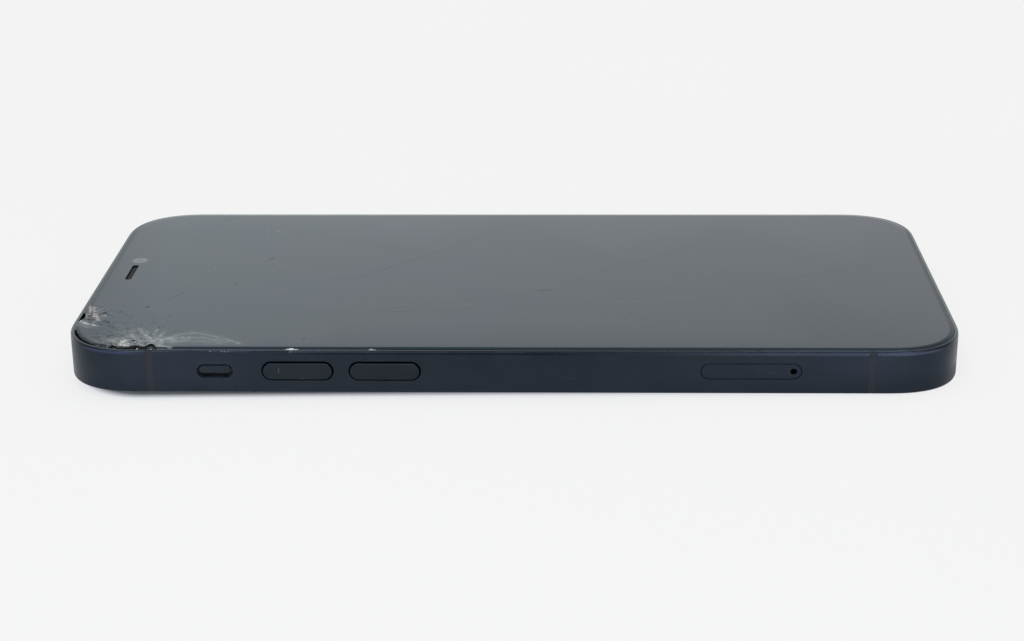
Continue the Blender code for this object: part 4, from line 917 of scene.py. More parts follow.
def add_band():
    loops, runs = band_runs()
    tools = slot_tools()
    for run in runs:
        node = run_name([loops[0][index] for index in run])
        is_break = node.startswith("antenna_break")
        rings = [[loop[index].copy() for loop in loops] for index in run]
        if is_break:
            shorten(rings, BREAK_SLIT)
        for point in (point for ring in rings for point in ring):
            worn = nick_depth(*point)
            point.z -= worn
            point.y += 0.5 * worn
        mesh = to_mesh(lofted(rings), node)
        if node in tools:
            mesh = carved(mesh, tools[node])
        finish = BREAK_PLASTIC if is_break else BAND_METAL
        piece = dress(node, mesh, [finish, NICKED_METAL])
        for face in piece.data.polygons:
            if nick_depth(*face.center) > BARE_NICK and not is_break:
                face.material_index = 1


# Keys, ring switch and tray

def add_side_key(node, body, side):
    low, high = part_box(node)
    x = middle_of(node)[0]
    length, _, depth = size_of(node)
    face, inner = (high.y, low.y) if side > 0 else (low.y, high.y)
    flange_near = inner + side * KEY_FLANGE
    cap_size = (length - 2 * KEY_LIP, KEY_SLOT_HEIGHT - 2 * KEY_GAP)
    cap = rounded_cap(
        lambda grow: stadium((x, KEY_Z), *cap_size, 14, grow), "Y", (flange_near + inner) / 2, face, KEY_EDGE)
    outline = stadium((x, KEY_Z), length, depth, 10)
    flange = closed_mesh([place_points(outline, y, "Y") for y in (inner, flange_near)], "flange")
    dress(node, carved(cap, [flange], "UNION"), [KEY_METAL], body)


def add_ring_switch():
    low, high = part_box("ring_switch")
    z = RING_Z + RING_SLOT[1] / 2 - KEY_GAP - RING_CAP[1] / 2
    cap = rounded_cap(
        lambda grow: stadium((RING_X, z), *RING_CAP, 12, grow),
        "Y", high.y - KEY_FLANGE / 2, low.y, RING_CAP_EDGE)
    flange = box_mesh((low.x, high.y - KEY_FLANGE, low.z), high)
    dress("ring_switch", carved(cap, [flange], "UNION"), [KEY_METAL], "ring_lever")


def add_tray():
    """The tray's face with its pin hole, and the leaf behind it with its pocket for the card."""
    low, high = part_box("sim_tray")
    x = middle_of("sim_tray")[0]
    length, _, height = size_of("sim_tray")
    face = rounded_cap(
        lambda grow: stadium((x, TRAY_Z), length, height, 14, grow),
        "Y", low.y + TRAY_FACE_DEPTH, low.y, TRAY_FACE_EDGE)
    pin = flared_tool(
        lambda grow: circle((x + PIN_HOLE_SHIFT, TRAY_Z), PIN_HOLE_RADIUS + grow, 8),
        "Y", low.y, 1, TRAY_FACE_DEPTH + OVERSHOOT, PIN_HOLE_EDGE)
    leaf_x, half, thick = x - LEAF_SHIFT, LEAF_WIDTH / 2, LEAF_THICKNESS / 2
    leaf = box_mesh(
        (leaf_x - half, low.y + TRAY_FACE_DEPTH / 2, TRAY_Z - thick), (leaf_x + half, high.y, TRAY_Z + thick))
    card = (2 * (half - LEAF_RAIL), CARD_LENGTH)
    outline = grown_loop((leaf_x, high.y - LEAF_RAIL - CARD_LENGTH / 2), card, 1.0 * MM, 5)
    pocket = closed_mesh(
        [place_points(outline, z, "Z") for z in (TRAY_Z - 3 * thick, TRAY_Z + 3 * thick)], "pocket")
    mesh = carved(carved(face, [pin]), [carved(leaf, [pocket])], "UNION")
    dress("sim_tray", mesh, [BAND_METAL], "card_tray")


# Front glass
# The plan of the glass is worked out in millimetres, as (x, y) pairs.

CRACK_GAP = 0.005
EARPIECE_END = -HALF_LENGTH / MM
LEFT_SIDE = -HALF_WIDTH / MM
BREAKAGE = (-40.0, -8.0)
NEAR_BLOW = (-61.8, -33.9)
END_BLOW = (-71.9, -20.6)
Crack = namedtuple("Crack", "points widths depth kind through")
Cell = namedtuple("Cell", "centre lean lift kind")
Surface = namedtuple("Surface", "faces places heights looks")
GLASS_KINDS = {"glass": 0, "pale": 1, "dark": 2, "white": 3, "window": 4}
# Loose points fill the plan up to here, and further on a small ring of them goes round a crack's tips
LOOSE_X = -42.0
LOOSE_Y = -10.0
GUARD = 0.3
# Splinters that lie loose where pieces are lost
CRUMBS = 150
CRUMB_SIZE = (0.10, 0.34)
CRUMB_KINDS = ("glass", "glass", "dark", "dark", "pale", "pale", "white")
# Fine unevenness where the glass is crazed between the two blows, as (height, waves in each millimetre)
CRAZING = ((0.034, 0.6), (0.026, 1.5))
CRAZED_REACH = 5.5
# How far the corner's large pieces lean out towards the near side
CORNER_LEAN = math.tan(math.radians(1.1))

# The broken pieces' corners, from the earpiece end and from the left side
SHARDS = {
    "glass_shard_corner": (
        (-4, -4), (7.6, -4), (7.2, 2.2), (5.7, 6.4), (3.3, 11.0), (1.2, 12.4), (-4, 12.6)),
    "glass_shard_second": (
        (7.6, -4), (10.3, -4), (10.6, 4.2), (9.0, 8.6), (5.2, 13.4), (3.3, 11.0), (5.7, 6.4), (7.2, 2.2)),
    "glass_shard_third": (
        (10.3, -4), (15.0, -4), (15.3, 3.8), (12.6, 9.8), (7.4, 15.4), (5.2, 13.4), (9.0, 8.6), (10.6, 4.2)),
    "glass_shard_end": (
        (-4, 12.6), (1.2, 12.4), (3.3, 11.0), (5.2, 13.4), (4.6, 17.2), (3.0, 20.4), (-4, 21.2)),
    "glass_shard_long": (
        (15.0, -4), (29.6, -4), (28.0, 3.6), (23.6, 7.0), (17.8, 8.4), (15.3, 3.8)),
}
LOST_CHIPS = (
    ((-4, 13.1), (0.9, 13.1), (1.5, 14.2), (1.4, 15.8), (0.9, 17.2), (-4, 17.4)),
    (
        (8.2, -4), (16.3, -4), (16.1, 1.3), (15.6, 2.2), (15.0, 2.9), (14.5, 2.2), (14.1, 1.5), (13.4, 1.4),
        (12.9, 2.0), (12.3, 2.1), (11.5, 1.5), (10.7, 1.2), (9.8, 1.3), (9.3, 1.8), (8.8, 2.2), (8.3, 1.5)),
)
# The stretch of the corner's rim where the glass has crumbled away, and how far in it has
CRUMBLED_FROM = (-71.9, -26.4)
CRUMBLED_TO = (-67.3, -33.9)
CRUMBLED_INSET = 1.12
# Chips in the near edge: where, half the length, how far in and how deep
EDGE_CHIPS = ((-35.3, 1.1, 0.02, 0.14), (-22.4, 0.7, -0.15, 0.08))
WHITE_SPOTS = ((-62.8, -33.2, 0.8), (-71.4, -23.5, 0.6), (-56.9, -34.2, 0.4))

HAIRLINES = (
    ("dark", 0.024, (
        (-37.2, -5.2), (-28.0, -1.2), (-20.5, 6.4), (-13.2, 14.2), (-8.6, 19.6), (-4.2, 25.0), (-1.9, 28.2))),
    ("pale", 0.016, (
        (-55.3, -20.4), (-44.0, -17.2), (-33.0, -15.4), (-22.4, -13.3), (-14.6, -11.2), (-7.6, -9.0),
        (0.4, -6.8), (7.6, -4.2))),
    ("dark", 0.018, ((7.6, -4.2), (14.3, 1.5), (22.9, 8.2), (31.5, 15.8), (37.2, 24.4))),
    ("dark", 0.030, ((-22.4, -17.1), (-10.0, -13.4), (0.0, -9.4), (7.6, -7.1))),
    ("dark", 0.032, (
        (-32.0, -19.0), (-15.2, -17.6), (-8.0, -16.6), (-1.9, -15.2), (5.0, -14.9), (11.4, -14.7))),
    ("pale", 0.022, ((11.4, -14.7), (21.0, -12.9), (31.5, -10.4), (40.0, -5.2))),
    ("dark", 0.016, ((40.0, -5.2), (49.6, -0.4), (59.1, 4.3), (68.6, 6.2))),
    ("pale", 0.012, ((-51.5, -22.8), (-28.0, -23.2), (4.8, -23.3), (22.0, -24.0), (38.1, -25.2))),
    ("dark", 0.030, ((-59.9, -13.6), (-59.1, -11.9), (-57.6, -9.6), (-56.8, -7.4), (-56.7, -4.7))),
    ("dark", 0.030, ((-46.4, 6.4), (-44.9, 8.3), (-43.9, 10.6))),
)
PITS = (
    (-62.2, -16.1, 0.95, 0.30, 75), (-66.5, -18.0, 0.6, 0.13, 120), (-60.0, -21.5, 0.5, 0.18, 80),
    (-44.4, 8.9, 0.8, 0.18, 50), (5.3, -7.5, 2.3, 0.20, 12), (-57.8, -22.3, 0.5, 0.14, 100),
    (-33.8, -30.7, 0.7, 0.14, 80), (-48.9, -4.6, 0.5, 0.12, 70), (-65.0, -19.9, 0.5, 0.12, 110),
    (-58.5, -25.7, 0.6, 0.16, 95),
)

# Pale specks further from the damage: place, length, width and heading
SPECKS = (
    (-55.9, 30.2, 0.5, 0.42, 60), (-54.6, 26.6, 0.5, 0.22, 80), (-47.2, 25.3, 0.9, 0.26, 8),
    (-45.4, 24.7, 0.9, 0.20, 0), (-43.9, 24.1, 0.7, 0.16, 170), (-41.0, 23.5, 0.5, 0.12, 20),
    (-46.5, 20.5, 0.6, 0.26, 10), (-54.0, 3.6, 0.4, 0.22, 30), (-53.1, 3.4, 0.3, 0.14, 90),
)

# Frosted bands and patches under the glass: a path, its half width, how strong and how warm
BLOOMS = (
    ((
        (-56.6, -30.6), (-54.3, -28.9), (-52.6, -28.2), (-50.2, -28.9), (-47.6, -30.2), (-45.4, -31.8),
        (-44.2, -32.8)), 0.38, 0.20, 0),
    (((-57.0, -31.4), (-54.6, -30.4), (-51.6, -30.2), (-48.6, -31.0), (-46.4, -32.2)), 0.50, 0.20, 0),
    (((-57.4, -32.6), (-54.0, -31.9), (-50.4, -31.9), (-47.2, -32.7)), 0.45, 0.14, 0),
    (((-55.6, -30.9), (-55.2, -31.6)), 0.55, 0.16, 0),
    (((-53.1, -30.4), (-52.7, -31.2)), 0.60, 0.16, 0),
    (((-52.9, -27.8), (-52.5, -28.3)), 0.35, 0.16, 0),
    (((-61.6, -26.4), (-60.6, -28.4), (-59.2, -30.6), (-58.3, -32.2)), 0.26, 0.40, 0),
    (((-60.2, -27.4), (-59.6, -29.2), (-58.6, -31.4)), 0.20, 0.26, 0),
    (((-58.6, -26.6), (-58.6, -29.0), (-58.0, -32.0)), 0.24, 0.30, 0),
    (((-62.6, -28.9), (-61.6, -30.4), (-60.2, -32.4)), 0.30, 0.26, 0.1),
    (((-57.2, -27.6), (-57.4, -29.8), (-56.8, -32.8)), 0.28, 0.26, 0),
    (((-62.6, -29.6), (-60.0, -30.4), (-57.0, -30.6), (-54.6, -31.6)), 1.30, 0.13, 0),
    (((-64.6, -30.8), (-62.0, -31.8), (-59.0, -32.4), (-57.6, -33.0)), 0.90, 0.24, 0.2),
    (((-65.2, -31.6), (-64.0, -33.0)), 0.50, 0.22, 0.5),
    (((-63.1, -31.3), (-62.9, -32.5), (-62.7, -33.6)), 0.30, 1.00, 0.5),
    (((-63.5, -33.5), (-62.7, -33.7), (-62.0, -33.6)), 0.34, 1.30, 0.4),
    (((-60.6, -33.0), (-59.6, -33.4)), 0.40, 0.45, 0.1),
    (((-57.0, -33.8), (-56.0, -34.2), (-55.0, -34.4)), 0.36, 0.55, 0),
    (((-72.3, -15.3), (-71.9, -16.6), (-71.6, -18.0), (-71.3, -19.6)), 0.20, 0.85, 1.0),
    (((-71.3, -16.2), (-70.9, -18.2), (-70.5, -20.6)), 0.20, 0.70, 1.0),
    (((-70.3, -19.0), (-69.9, -20.6), (-69.3, -22.4)), 0.20, 0.75, 0.4),
    (((-71.9, -19.4), (-71.5, -21.2)), 0.22, 0.45, 0.6),
    (((-71.6, -17.2), (-70.6, -20.4), (-69.8, -22.0)), 0.70, 0.14, 1.0),
    (((-70.4, -16.6), (-69.4, -17.4)), 0.50, 0.16, 0.2),
    (((-72.3, -22.8), (-71.6, -23.4), (-71.0, -24.0)), 0.34, 1.50, 0),
    (((-71.2, -23.8), (-70.2, -24.4), (-69.2, -25.0)), 0.26, 0.70, 0),
    (((-71.9, -24.6), (-70.4, -25.6)), 0.55, 0.20, 0),
    (((-69.8, -22.6), (-69.9, -24.6), (-68.9, -25.6)), 0.22, 0.26, 0),
    (((-64.4, -28.2), (-61.4, -26.6)), 0.80, 0.08, 0.2),
)


def to_plan(polygon):
    return [(EARPIECE_END + along, LEFT_SIDE + across) for along, across in polygon]


def wandering(start, heading, length, step, drift, rng):
    """A crack's path that starts along a heading, in degrees, and wanders."""
    points = [start]
    angle = math.radians(heading)
    travelled = 0.0
    while travelled < length:
        stride = step * rng.uniform(0.6, 1.3)
        angle += math.radians(rng.gauss(0, drift))
        points.append((points[-1][0] + stride * math.cos(angle), points[-1][1] + stride * math.sin(angle)))
        travelled += stride
    return points


def tapered(points, half_width, ends):
    """Half widths along a crack that thins out towards its open ends."""
    count = len(points) - 1
    widths = []
    for index in range(count + 1):
        share = index / count
        width = half_width
        if ends[0]:
            width *= min(1.0, 0.12 + share * 4)
        if ends[1]:
            width *= min(1.0, 0.12 + (1 - share) * 2.2)
        widths.append(width)
    return widths


def arc_path(centre, radius, start, end, rng, squash):
    """A ragged stretch of a ring round a blow."""
    count = max(3, int(abs(end - start) * radius / 38))
    points = []
    for index in range(count + 1):
        angle = math.radians(start + (end - start) * index / count)
        reach = radius * rng.uniform(0.93, 1.07)
        points.append((centre[0] + reach * math.cos(angle), centre[1] + squash * reach * math.sin(angle)))
    return points


def jagged_edge(start, end, rng, amount=0.16, step=0.8):
    """The straight line between two corners as a slightly ragged one."""
    a, b = Vector(start), Vector(end)
    length = (b - a).length
    count = max(1, int(length / step))
    across = Vector((-(b - a).y, (b - a).x)).normalized()
    points = [tuple(a)]
    for index in range(1, count):
        share = index / count + rng.uniform(-0.2, 0.2) / count
        points.append(tuple(a.lerp(b, share) + across * rng.uniform(-amount, amount)))
    points.append(tuple(b))
    return points


def ragged_polygon(corners, rng):
    outline = []
    for start, end in zip(corners, corners[1:] + corners[:1]):
        outline += jagged_edge(start, end, rng, 0.14, 0.5)[:-1]
    return outline


def shard_borders(rng):
    """Each border between two pieces once, and every piece's own ragged outline."""
    borders = {}
    outlines = {}
    for name, polygon in SHARDS.items():
        corners = to_plan(polygon)
        outline = []
        for start, end in zip(corners, corners[1:] + corners[:1]):
            key = tuple(sorted((start, end)))
            if key not in borders:
                outside = inset_of(*start) < -1 and inset_of(*end) < -1
                borders[key] = list(key) if outside else jagged_edge(*key, rng)
            path = borders[key]
            outline += path[:-1] if key[0] == start else path[:0:-1]
        outlines[name] = outline
    return list(borders.values()), outlines


def inset_of(x, y):
    """How far inside the phone's outline a point of the plan is, in millimetres."""
    reach = CORNER_REACH / MM
    dx = max(abs(x) - (HALF_LENGTH / MM - reach), 0.0)
    dy = max(abs(y) - (HALF_WIDTH / MM - reach), 0.0)
    return reach - (dx ** CORNER_POWER + dy ** CORNER_POWER) ** (1 / CORNER_POWER)


def segment_distance(point, start, end):
    p, a, b = Vector(point), Vector(start), Vector(end)
    share = max(0.0, min(1.0, (p - a).dot(b - a) / (b - a).length_squared))
    return (p - a.lerp(b, share)).length


def blow_strength(x, y):
    """1 at a blow, and falling away from it."""
    near = math.hypot((x - NEAR_BLOW[0]) / 1.5, y - NEAR_BLOW[1])
    end = math.hypot(x - END_BLOW[0], (y - END_BLOW[1]) / 1.4)
    between = segment_distance((x, y), NEAR_BLOW, END_BLOW)
    return max(math.exp(-near / 2.6), math.exp(-end / 1.9), 0.55 * math.exp(-between / 3.2))


def in_breakage(x, y):
    return x < BREAKAGE[0] and y < BREAKAGE[1]


class Shattering:
    """Draws every crack in the glass but the borders of the pieces."""

    def __init__(self, rng):
        self.rng = rng
        self.cracks = []

    def add(self, points, width, depth, kind, ends=(True, True)):
        self.cracks.append(Crack(points, tapered(points, width, ends), depth, kind, False))

    def stroke(self, start, heading, length, width, pale, drift=12, ends=(True, True)):
        rng = self.rng
        path = wandering(start, heading, length, min(0.6, max(0.15, length / 3)), drift, rng)
        kind = "pale" if rng.random() < pale else "dark"
        self.add(path, width, rng.uniform(1.5, 3.0) * width, kind, ends)

    def rays(self, centre, spread, headings, count, lengths, widths, pale):
        """Cracks that run out from a blow."""
        rng = self.rng
        for index in range(count):
            place = index + rng.uniform(-0.4, 0.4)
            heading = headings[0] + (headings[1] - headings[0]) * place / (count - 1)
            start = (centre[0] + rng.uniform(*spread[0]), centre[1] + rng.uniform(*spread[1]))
            self.stroke(start, heading, rng.uniform(*lengths), rng.uniform(*widths), pale, 9, (False, True))

    def rings(self, centre, radii, sweep, squash, share, pale):
        """Broken rings round a blow."""
        rng = self.rng
        for radius in radii:
            angle = rng.uniform(sweep[0], sweep[0] + 25)
            while angle < sweep[1]:
                span = rng.uniform(12, 42)
                if rng.random() < share:
                    path = arc_path(centre, radius, angle, min(angle + span, sweep[1]), rng, squash)
                    width = rng.uniform(0.006, 0.018)
                    self.add(path, width, 2.5 * width, "pale" if rng.random() < pale else "dark")
                angle += span * rng.uniform(0.9, 1.4)

    def pit(self, x, y, length, width, heading, kind):
        """A small spall: a short crack that is wide in the middle."""
        turn = Vector((math.cos(math.radians(heading)), math.sin(math.radians(heading))))
        half = turn * length / 2
        across = Vector((-turn.y, turn.x)) * width * 0.25
        middle = Vector((x, y))
        points = [middle - half, middle - half * 0.3 + across, middle + half * 0.4 - across, middle + half]
        widths = [0.02, width / 2, width / 2, 0.02]
        self.cracks.append(Crack([tuple(point) for point in points], widths, 0.09, kind, False))

    def draw(self):
        rng = self.rng
        self.rays(NEAR_BLOW, ((-3.5, 4.0), (-0.3, 0.6)), (8, 172), 22, (1.5, 5.5), (0.006, 0.018), 0.75)
        self.rays(NEAR_BLOW, ((-3.0, 4.0), (0.0, 0.6)), (50, 130), 9, (5.0, 11.0), (0.006, 0.014), 0.4)
        self.rays(END_BLOW, ((0.0, 0.8), (-2.0, 2.5)), (-72, 78), 14, (1.5, 4.5), (0.006, 0.016), 0.5)
        self.rays(END_BLOW, ((0.0, 0.8), (-2.0, 2.5)), (-60, 40), 7, (4.0, 9.0), (0.006, 0.013), 0.4)
        self.rings(NEAR_BLOW, (1.2, 1.9, 2.7, 3.6, 4.8), (5, 175), 0.85, 0.5, 0.7)
        self.rings(END_BLOW, (1.0, 1.7), (-85, 85), 1.2, 0.5, 0.6)
        for _ in range(90):
            centre = Vector(END_BLOW).lerp(Vector(NEAR_BLOW), rng.random())
            start = (centre.x + abs(rng.gauss(0, 3.4)) + 0.4, centre.y + rng.gauss(0.9, 2.7))
            self.stroke(start, rng.gauss(-60, 30), rng.uniform(0.2, 1.0), rng.uniform(0.012, 0.034), 0.45)
        for _ in range(70):
            start = (NEAR_BLOW[0] + rng.gauss(0.5, 2.4), NEAR_BLOW[1] + abs(rng.gauss(0, 1.1)))
            self.stroke(
                start, rng.uniform(0, 360), rng.uniform(0.3, 1.4), rng.uniform(0.012, 0.035), 0.65, 16)
        for _ in range(50):
            start = (END_BLOW[0] + abs(rng.gauss(0, 1.0)), END_BLOW[1] + rng.gauss(0.6, 2.0))
            self.stroke(start, rng.uniform(0, 360), rng.uniform(0.3, 1.2), rng.uniform(0.012, 0.035), 0.5, 16)
        for kind, width, points in HAIRLINES:
            path = []
            for start, end in zip(points, points[1:]):
                path += jagged_edge(start, end, rng, 0.10, 1.6)[:-1]
            self.add([*path, points[-1]], width, 0.04, kind)
        for x, y, length, width, heading in PITS:
            self.pit(x, y, length, width, heading, "dark")
        for x, y, length, width, heading in SPECKS:
            self.pit(x, y, length, width, heading, "pale")
        for _ in range(26):
            x = NEAR_BLOW[0] + rng.uniform(-9, 6)
            y = NEAR_BLOW[1] + rng.uniform(1.5, 17)
            kind = "pale" if rng.random() < 0.3 else "dark"
            self.pit(x, y, rng.uniform(0.12, 0.45), rng.uniform(0.05, 0.13), rng.uniform(0, 180), kind)
        return self.cracks


class Plan:
    """Points and fixed edges of the glass seen from the front, before it is triangulated."""

    def __init__(self):
        self.points = []
        self.edges = []

    def path(self, points, closed=False):
        first = len(self.points)
        self.points += [Vector(point) for point in points]
        self.edges += [(index, index + 1) for index in range(first, len(self.points) - 1)]
        if closed:
            self.edges.append((len(self.points) - 1, first))

    def crack(self, crack):
        """A crack's two lips and its middle, as lines that the triangles keep to."""
        left, right = [], []
        points = [Vector(point) for point in crack.points]
        for index, point in enumerate(points):
            before = points[max(index - 1, 0)]
            after = points[min(index + 1, len(points) - 1)]
            along = (after - before).normalized()
            across = Vector((-along.y, along.x)) * crack.widths[index]
            left.append(point + across)
            right.append(point - across)
        self.path(left)
        self.path(right)
        if crack.through:
            return
        self.path(points)
        for tip in (points[0], points[-1]):
            if tip.x > LOOSE_X or tip.y > LOOSE_Y:
                ring = circle(tip, GUARD, 8)
                self.points += [Vector(point) for point in ring]


def nearest_crack(places, cracks):
    """For each place: how far into a crack it is, which crack, and how deep its groove is there."""
    order = np.argsort(places[:, 0], kind="stable")
    xs = places[order, 0]
    ys = places[order, 1]
    inside = np.zeros(len(places))
    drop = np.zeros(len(places))
    which = np.full(len(places), -1)
    for number, crack in enumerate(cracks):
        for start, end, wide, narrow in zip(crack.points, crack.points[1:], crack.widths, crack.widths[1:]):
            reach = max(wide, narrow)
            first = np.searchsorted(xs, min(start[0], end[0]) - reach)
            last = np.searchsorted(xs, max(start[0], end[0]) + reach)
            if first == last:
                continue
            px = xs[first:last] - start[0]
            py = ys[first:last] - start[1]
            dx, dy = end[0] - start[0], end[1] - start[1]
            share = np.clip((px * dx + py * dy) / max(dx * dx + dy * dy, 1e-12), 0, 1)
            distance = np.hypot(px - share * dx, py - share * dy)
            width = wide + share * (narrow - wide)
            level = 1 - distance / np.maximum(width, 1e-6)
            indices = order[first:last]
            deeper = (level > 0.02) & (level > inside[indices])
            inside[indices[deeper]] = level[deeper]
            which[indices[deeper]] = number
            drop[indices] = np.maximum(drop[indices], np.clip(level, 0, 1) * crack.depth)
    return inside, which, drop


def point_in(polygon, x, y):
    inside = False
    for (ax, ay), (bx, by) in zip(polygon, polygon[1:] + polygon[:1]):
        if (ay > y) != (by > y) and x < ax + (y - ay) / (by - ay) * (bx - ax):
            inside = not inside
    return inside


def edge_height(inset):
    """How far the glass's rounded rim is below its flat, in millimetres."""
    width, fall, turn = (value / MM for value in (GLASS_EDGE, GLASS_EDGE_FALL, GLASS_EDGE_TURN))
    along = max(inset - GLASS_INSET / MM, 0.0)
    slope = max(0.0, 1 - along / width)
    level = max(0.0, turn - along)
    return -fall * slope * slope - (turn - math.sqrt(max(turn * turn - level * level, 0.0)))


SMOOTH_STEP = 0.15


def smooth_path(points):
    """Points along a smooth curve through the given ones."""
    made = []
    ends = [points[0], *points, points[-1]]
    for a, b, c, d in zip(ends, ends[1:], ends[2:], ends[3:]):
        a, b, c, d = (Vector(p) for p in (a, b, c, d))
        count = max(2, int((c - b).length / SMOOTH_STEP))
        for index in range(count):
            t = index / count
            linear = 2 * b + (c - a) * t
            square = (2 * a - 5 * b + 4 * c - d) * t * t
            cubic = (3 * b - a - 3 * c + d) * t ** 3
            made.append(0.5 * (linear + square + cubic))
    made.append(Vector(points[-1]))
    return made


def bloom_and_warmth(places):
    """How frosted and how warm in colour the glass is at each place, by the breakage under it."""
    bloom = np.zeros(len(places))
    warm = np.zeros(len(places))
    near = np.nonzero((places[:, 0] < BREAKAGE[0]) & (places[:, 1] < BREAKAGE[1]))[0]
    spots = places[near]
    patches = np.array([0.75 + 0.9 * noise.noise(Vector((x * 1.1, y * 1.9, 4.0))) for x, y in spots])
    grains = np.array([1.0 + 1.1 * noise.noise(Vector((x * 3.1, y * 3.7, 9.0))) for x, y in spots])
    total = np.zeros(len(near))
    warmed = np.zeros(len(near))
    for points, width, strength, warmth in BLOOMS:
        path = np.array([(point.x, point.y) for point in smooth_path(points)])
        offsets = spots[:, None, :] - path[None, :, :]
        distance = np.sqrt((offsets ** 2).sum(axis=2)).min(axis=1)
        amount = strength * np.exp(-(distance / width) ** 2)
        total += amount
        warmed += amount * warmth
    rays = []
    for x, y in spots:
        dx, dy = x - NEAR_BLOW[0], y - NEAR_BLOW[1]
        angle = math.atan2(dy, dx)
        reach = math.hypot(dx / 1.3, dy)
        streak = noise.noise(Vector((angle * 8.0, reach * 0.25, 3.1)))
        streak += 0.5 * noise.noise(Vector((angle * 21.0, reach * 0.5, 7.7)))
        rays.append(max(0.0, streak) * math.exp(-reach / 3.4) if dx < 6 else 0.0)
    total = (total * patches + 0.55 * np.array(rays)) * grains
    bloom[near] = np.clip(total, 0.0, 1.0)
    warm[near] = np.clip(warmed / np.maximum(total, 0.02), 0.0, 1.0)
    return bloom, warm


def earpiece_loop(grow):
    x, y, across, along = EARPIECE
    return grown_loop((x, y), (across, along), across / 2 + grow, 8, grow)


def in_millimetres(loop):
    return [(x / MM, y / MM) for x, y in loop]


def plan_points(plan, cracks, rng):
    """Fills the plan: rim loops, holes, cracks, and loose points where the glass needs detail."""
    radius = GLASS_EDGE / MM
    straight_x = (HALF_LENGTH - CORNER_REACH) / MM - 0.1
    straight_y = (HALF_WIDTH - CORNER_REACH) / MM - 0.1
    near = [0.25 * step - 60.2 for step in range(196)] + [4.0 * step - 11.0 for step in range(18)]
    far = [6.0 * step - 58 for step in range(20)]
    end = [0.3 * step - 22.5 for step in range(60)] + [4.0 * step - 3 for step in range(7)]
    bottom = [5.0 * step - 20 for step in range(9)]
    stops_x = [[x * MM for x in side if abs(x) < straight_x] for side in (far, near)]
    stops_y = [[y * MM for y in side if abs(y) < straight_y] for side in (bottom, end)]
    turning = [step for step, _ in quarter_round(GLASS_EDGE_TURN, 4)]
    falling = [GLASS_EDGE_TURN + (GLASS_EDGE - GLASS_EDGE_TURN) * step / 6 for step in range(1, 7)]
    loops = [phone_loop(GLASS_INSET + inward, stops_x, stops_y) for inward in turning + falling]
    loops += [earpiece_loop(0.0), earpiece_loop(0.12 * MM), circle(FRONT_CAMERA[:2], FRONT_CAMERA[2], 10)]
    for loop in loops:
        plan.path(in_millimetres(loop), closed=True)
    for crack in cracks:
        plan.crack(crack)
    across = np.arange(EARPIECE_END, LOOSE_X, 0.25)
    along = np.arange(LEFT_SIDE, LOOSE_Y, 0.25)
    spots = np.array([(x, y) for x in across for y in along])
    bloom, _ = bloom_and_warmth(spots)
    for (x, y), amount in zip(spots, bloom):
        if inset_of(x, y) < GLASS_INSET / MM + radius + 0.1:
            continue
        near_crazing = segment_distance((x, y), NEAR_BLOW, END_BLOW) < CRAZED_REACH * 1.3
        if amount > 0.02 or near_crazing or rng.random() < 0.12:
            plan.points.append(Vector((x + rng.uniform(-0.08, 0.08), y + rng.uniform(-0.08, 0.08))))


def chip_drop(x, y):
    """How deep the small chips in the near edge go at a place of the plan."""
    drop = 0.0
    for centre, half, reach, depth in EDGE_CHIPS:
        across = (x - centre) / half
        inward = (inset_of(x, y) - GLASS_INSET / MM) / (reach + 0.4)
        if y < -30 and abs(across) < 1:
            ragged = 0.8 + 0.5 * noise.noise(Vector((x * 4, y * 4, centre)))
            limit = math.sqrt(1 - across * across) * ragged
            if inward < limit:
                drop = max(drop, depth * (1 - (inward / limit) ** 2))
    return drop


def crumbled_rim(rng):
    """The outline of the strip along the corner where the glass has crumbled away."""
    def stretch(inset):
        loop = in_millimetres(phone_loop(inset * MM, steps=40))
        return [
            (x, y) for x, y in loop
            if x < CRUMBLED_TO[0] and CRUMBLED_TO[1] < y < CRUMBLED_FROM[1]
        ]

    inner = []
    for x, y in stretch(CRUMBLED_INSET):
        inner.append((x + rng.uniform(-0.12, 0.06), y + rng.uniform(-0.12, 0.06)))
    return stretch(-1.0) + inner[::-1]


def add_front_glass():
    rng = random.Random(20)
    borders, outlines = shard_borders(rng)
    drawn = Shattering(rng).draw()
    cracks = [crack for crack in drawn if any(inset_of(*point) > 0 for point in crack.points)]
    cracks += [Crack(border, [CRACK_GAP] * len(border), 0.0, "pale", True) for border in borders]
    lost = [ragged_polygon(to_plan(polygon), rng) for polygon in LOST_CHIPS]
    lost.append(crumbled_rim(rng))
    plan = Plan()
    plan_points(plan, cracks, rng)
    for polygon in lost:
        plan.path(polygon, closed=True)
    verts, _, faces, _, _, _ = geometry.delaunay_2d_cdt(plan.points, plan.edges, [], 0, 1e-5)
    places = np.array([(v.x, v.y) for v in verts])
    middles = np.array([places[list(face)].mean(axis=0) for face in faces])
    inside, which, _ = nearest_crack(middles, cracks)
    _, _, drop = nearest_crack(places, cracks)
    gone = [index for index, number in enumerate(which) if number >= 0 and cracks[number].through]
    owners = glass_owners(middles, outlines, lost, set(gone))
    kinds = [cracks[w].kind if w >= 0 and inside[i] > 0.03 else "glass" for i, w in enumerate(which)]
    cell_of = glass_cells(faces, owners, kinds)
    shapes = cell_shapes(cell_of, faces, places)
    heights = vertex_heights(places, faces, cell_of, shapes, drop)
    surface = Surface(faces, places, heights, bloom_and_warmth(places))
    for index, cell in enumerate(cell_of):
        if cell >= 0 and kinds[index] == "glass":
            kinds[index] = shapes[cell].kind
    for name in ["cover_glass", *SHARDS]:
        members = [index for index, owner in enumerate(owners) if owner == name]
        make_glass_piece(name, members, surface, middles, kinds)
    add_crumbs(lost)


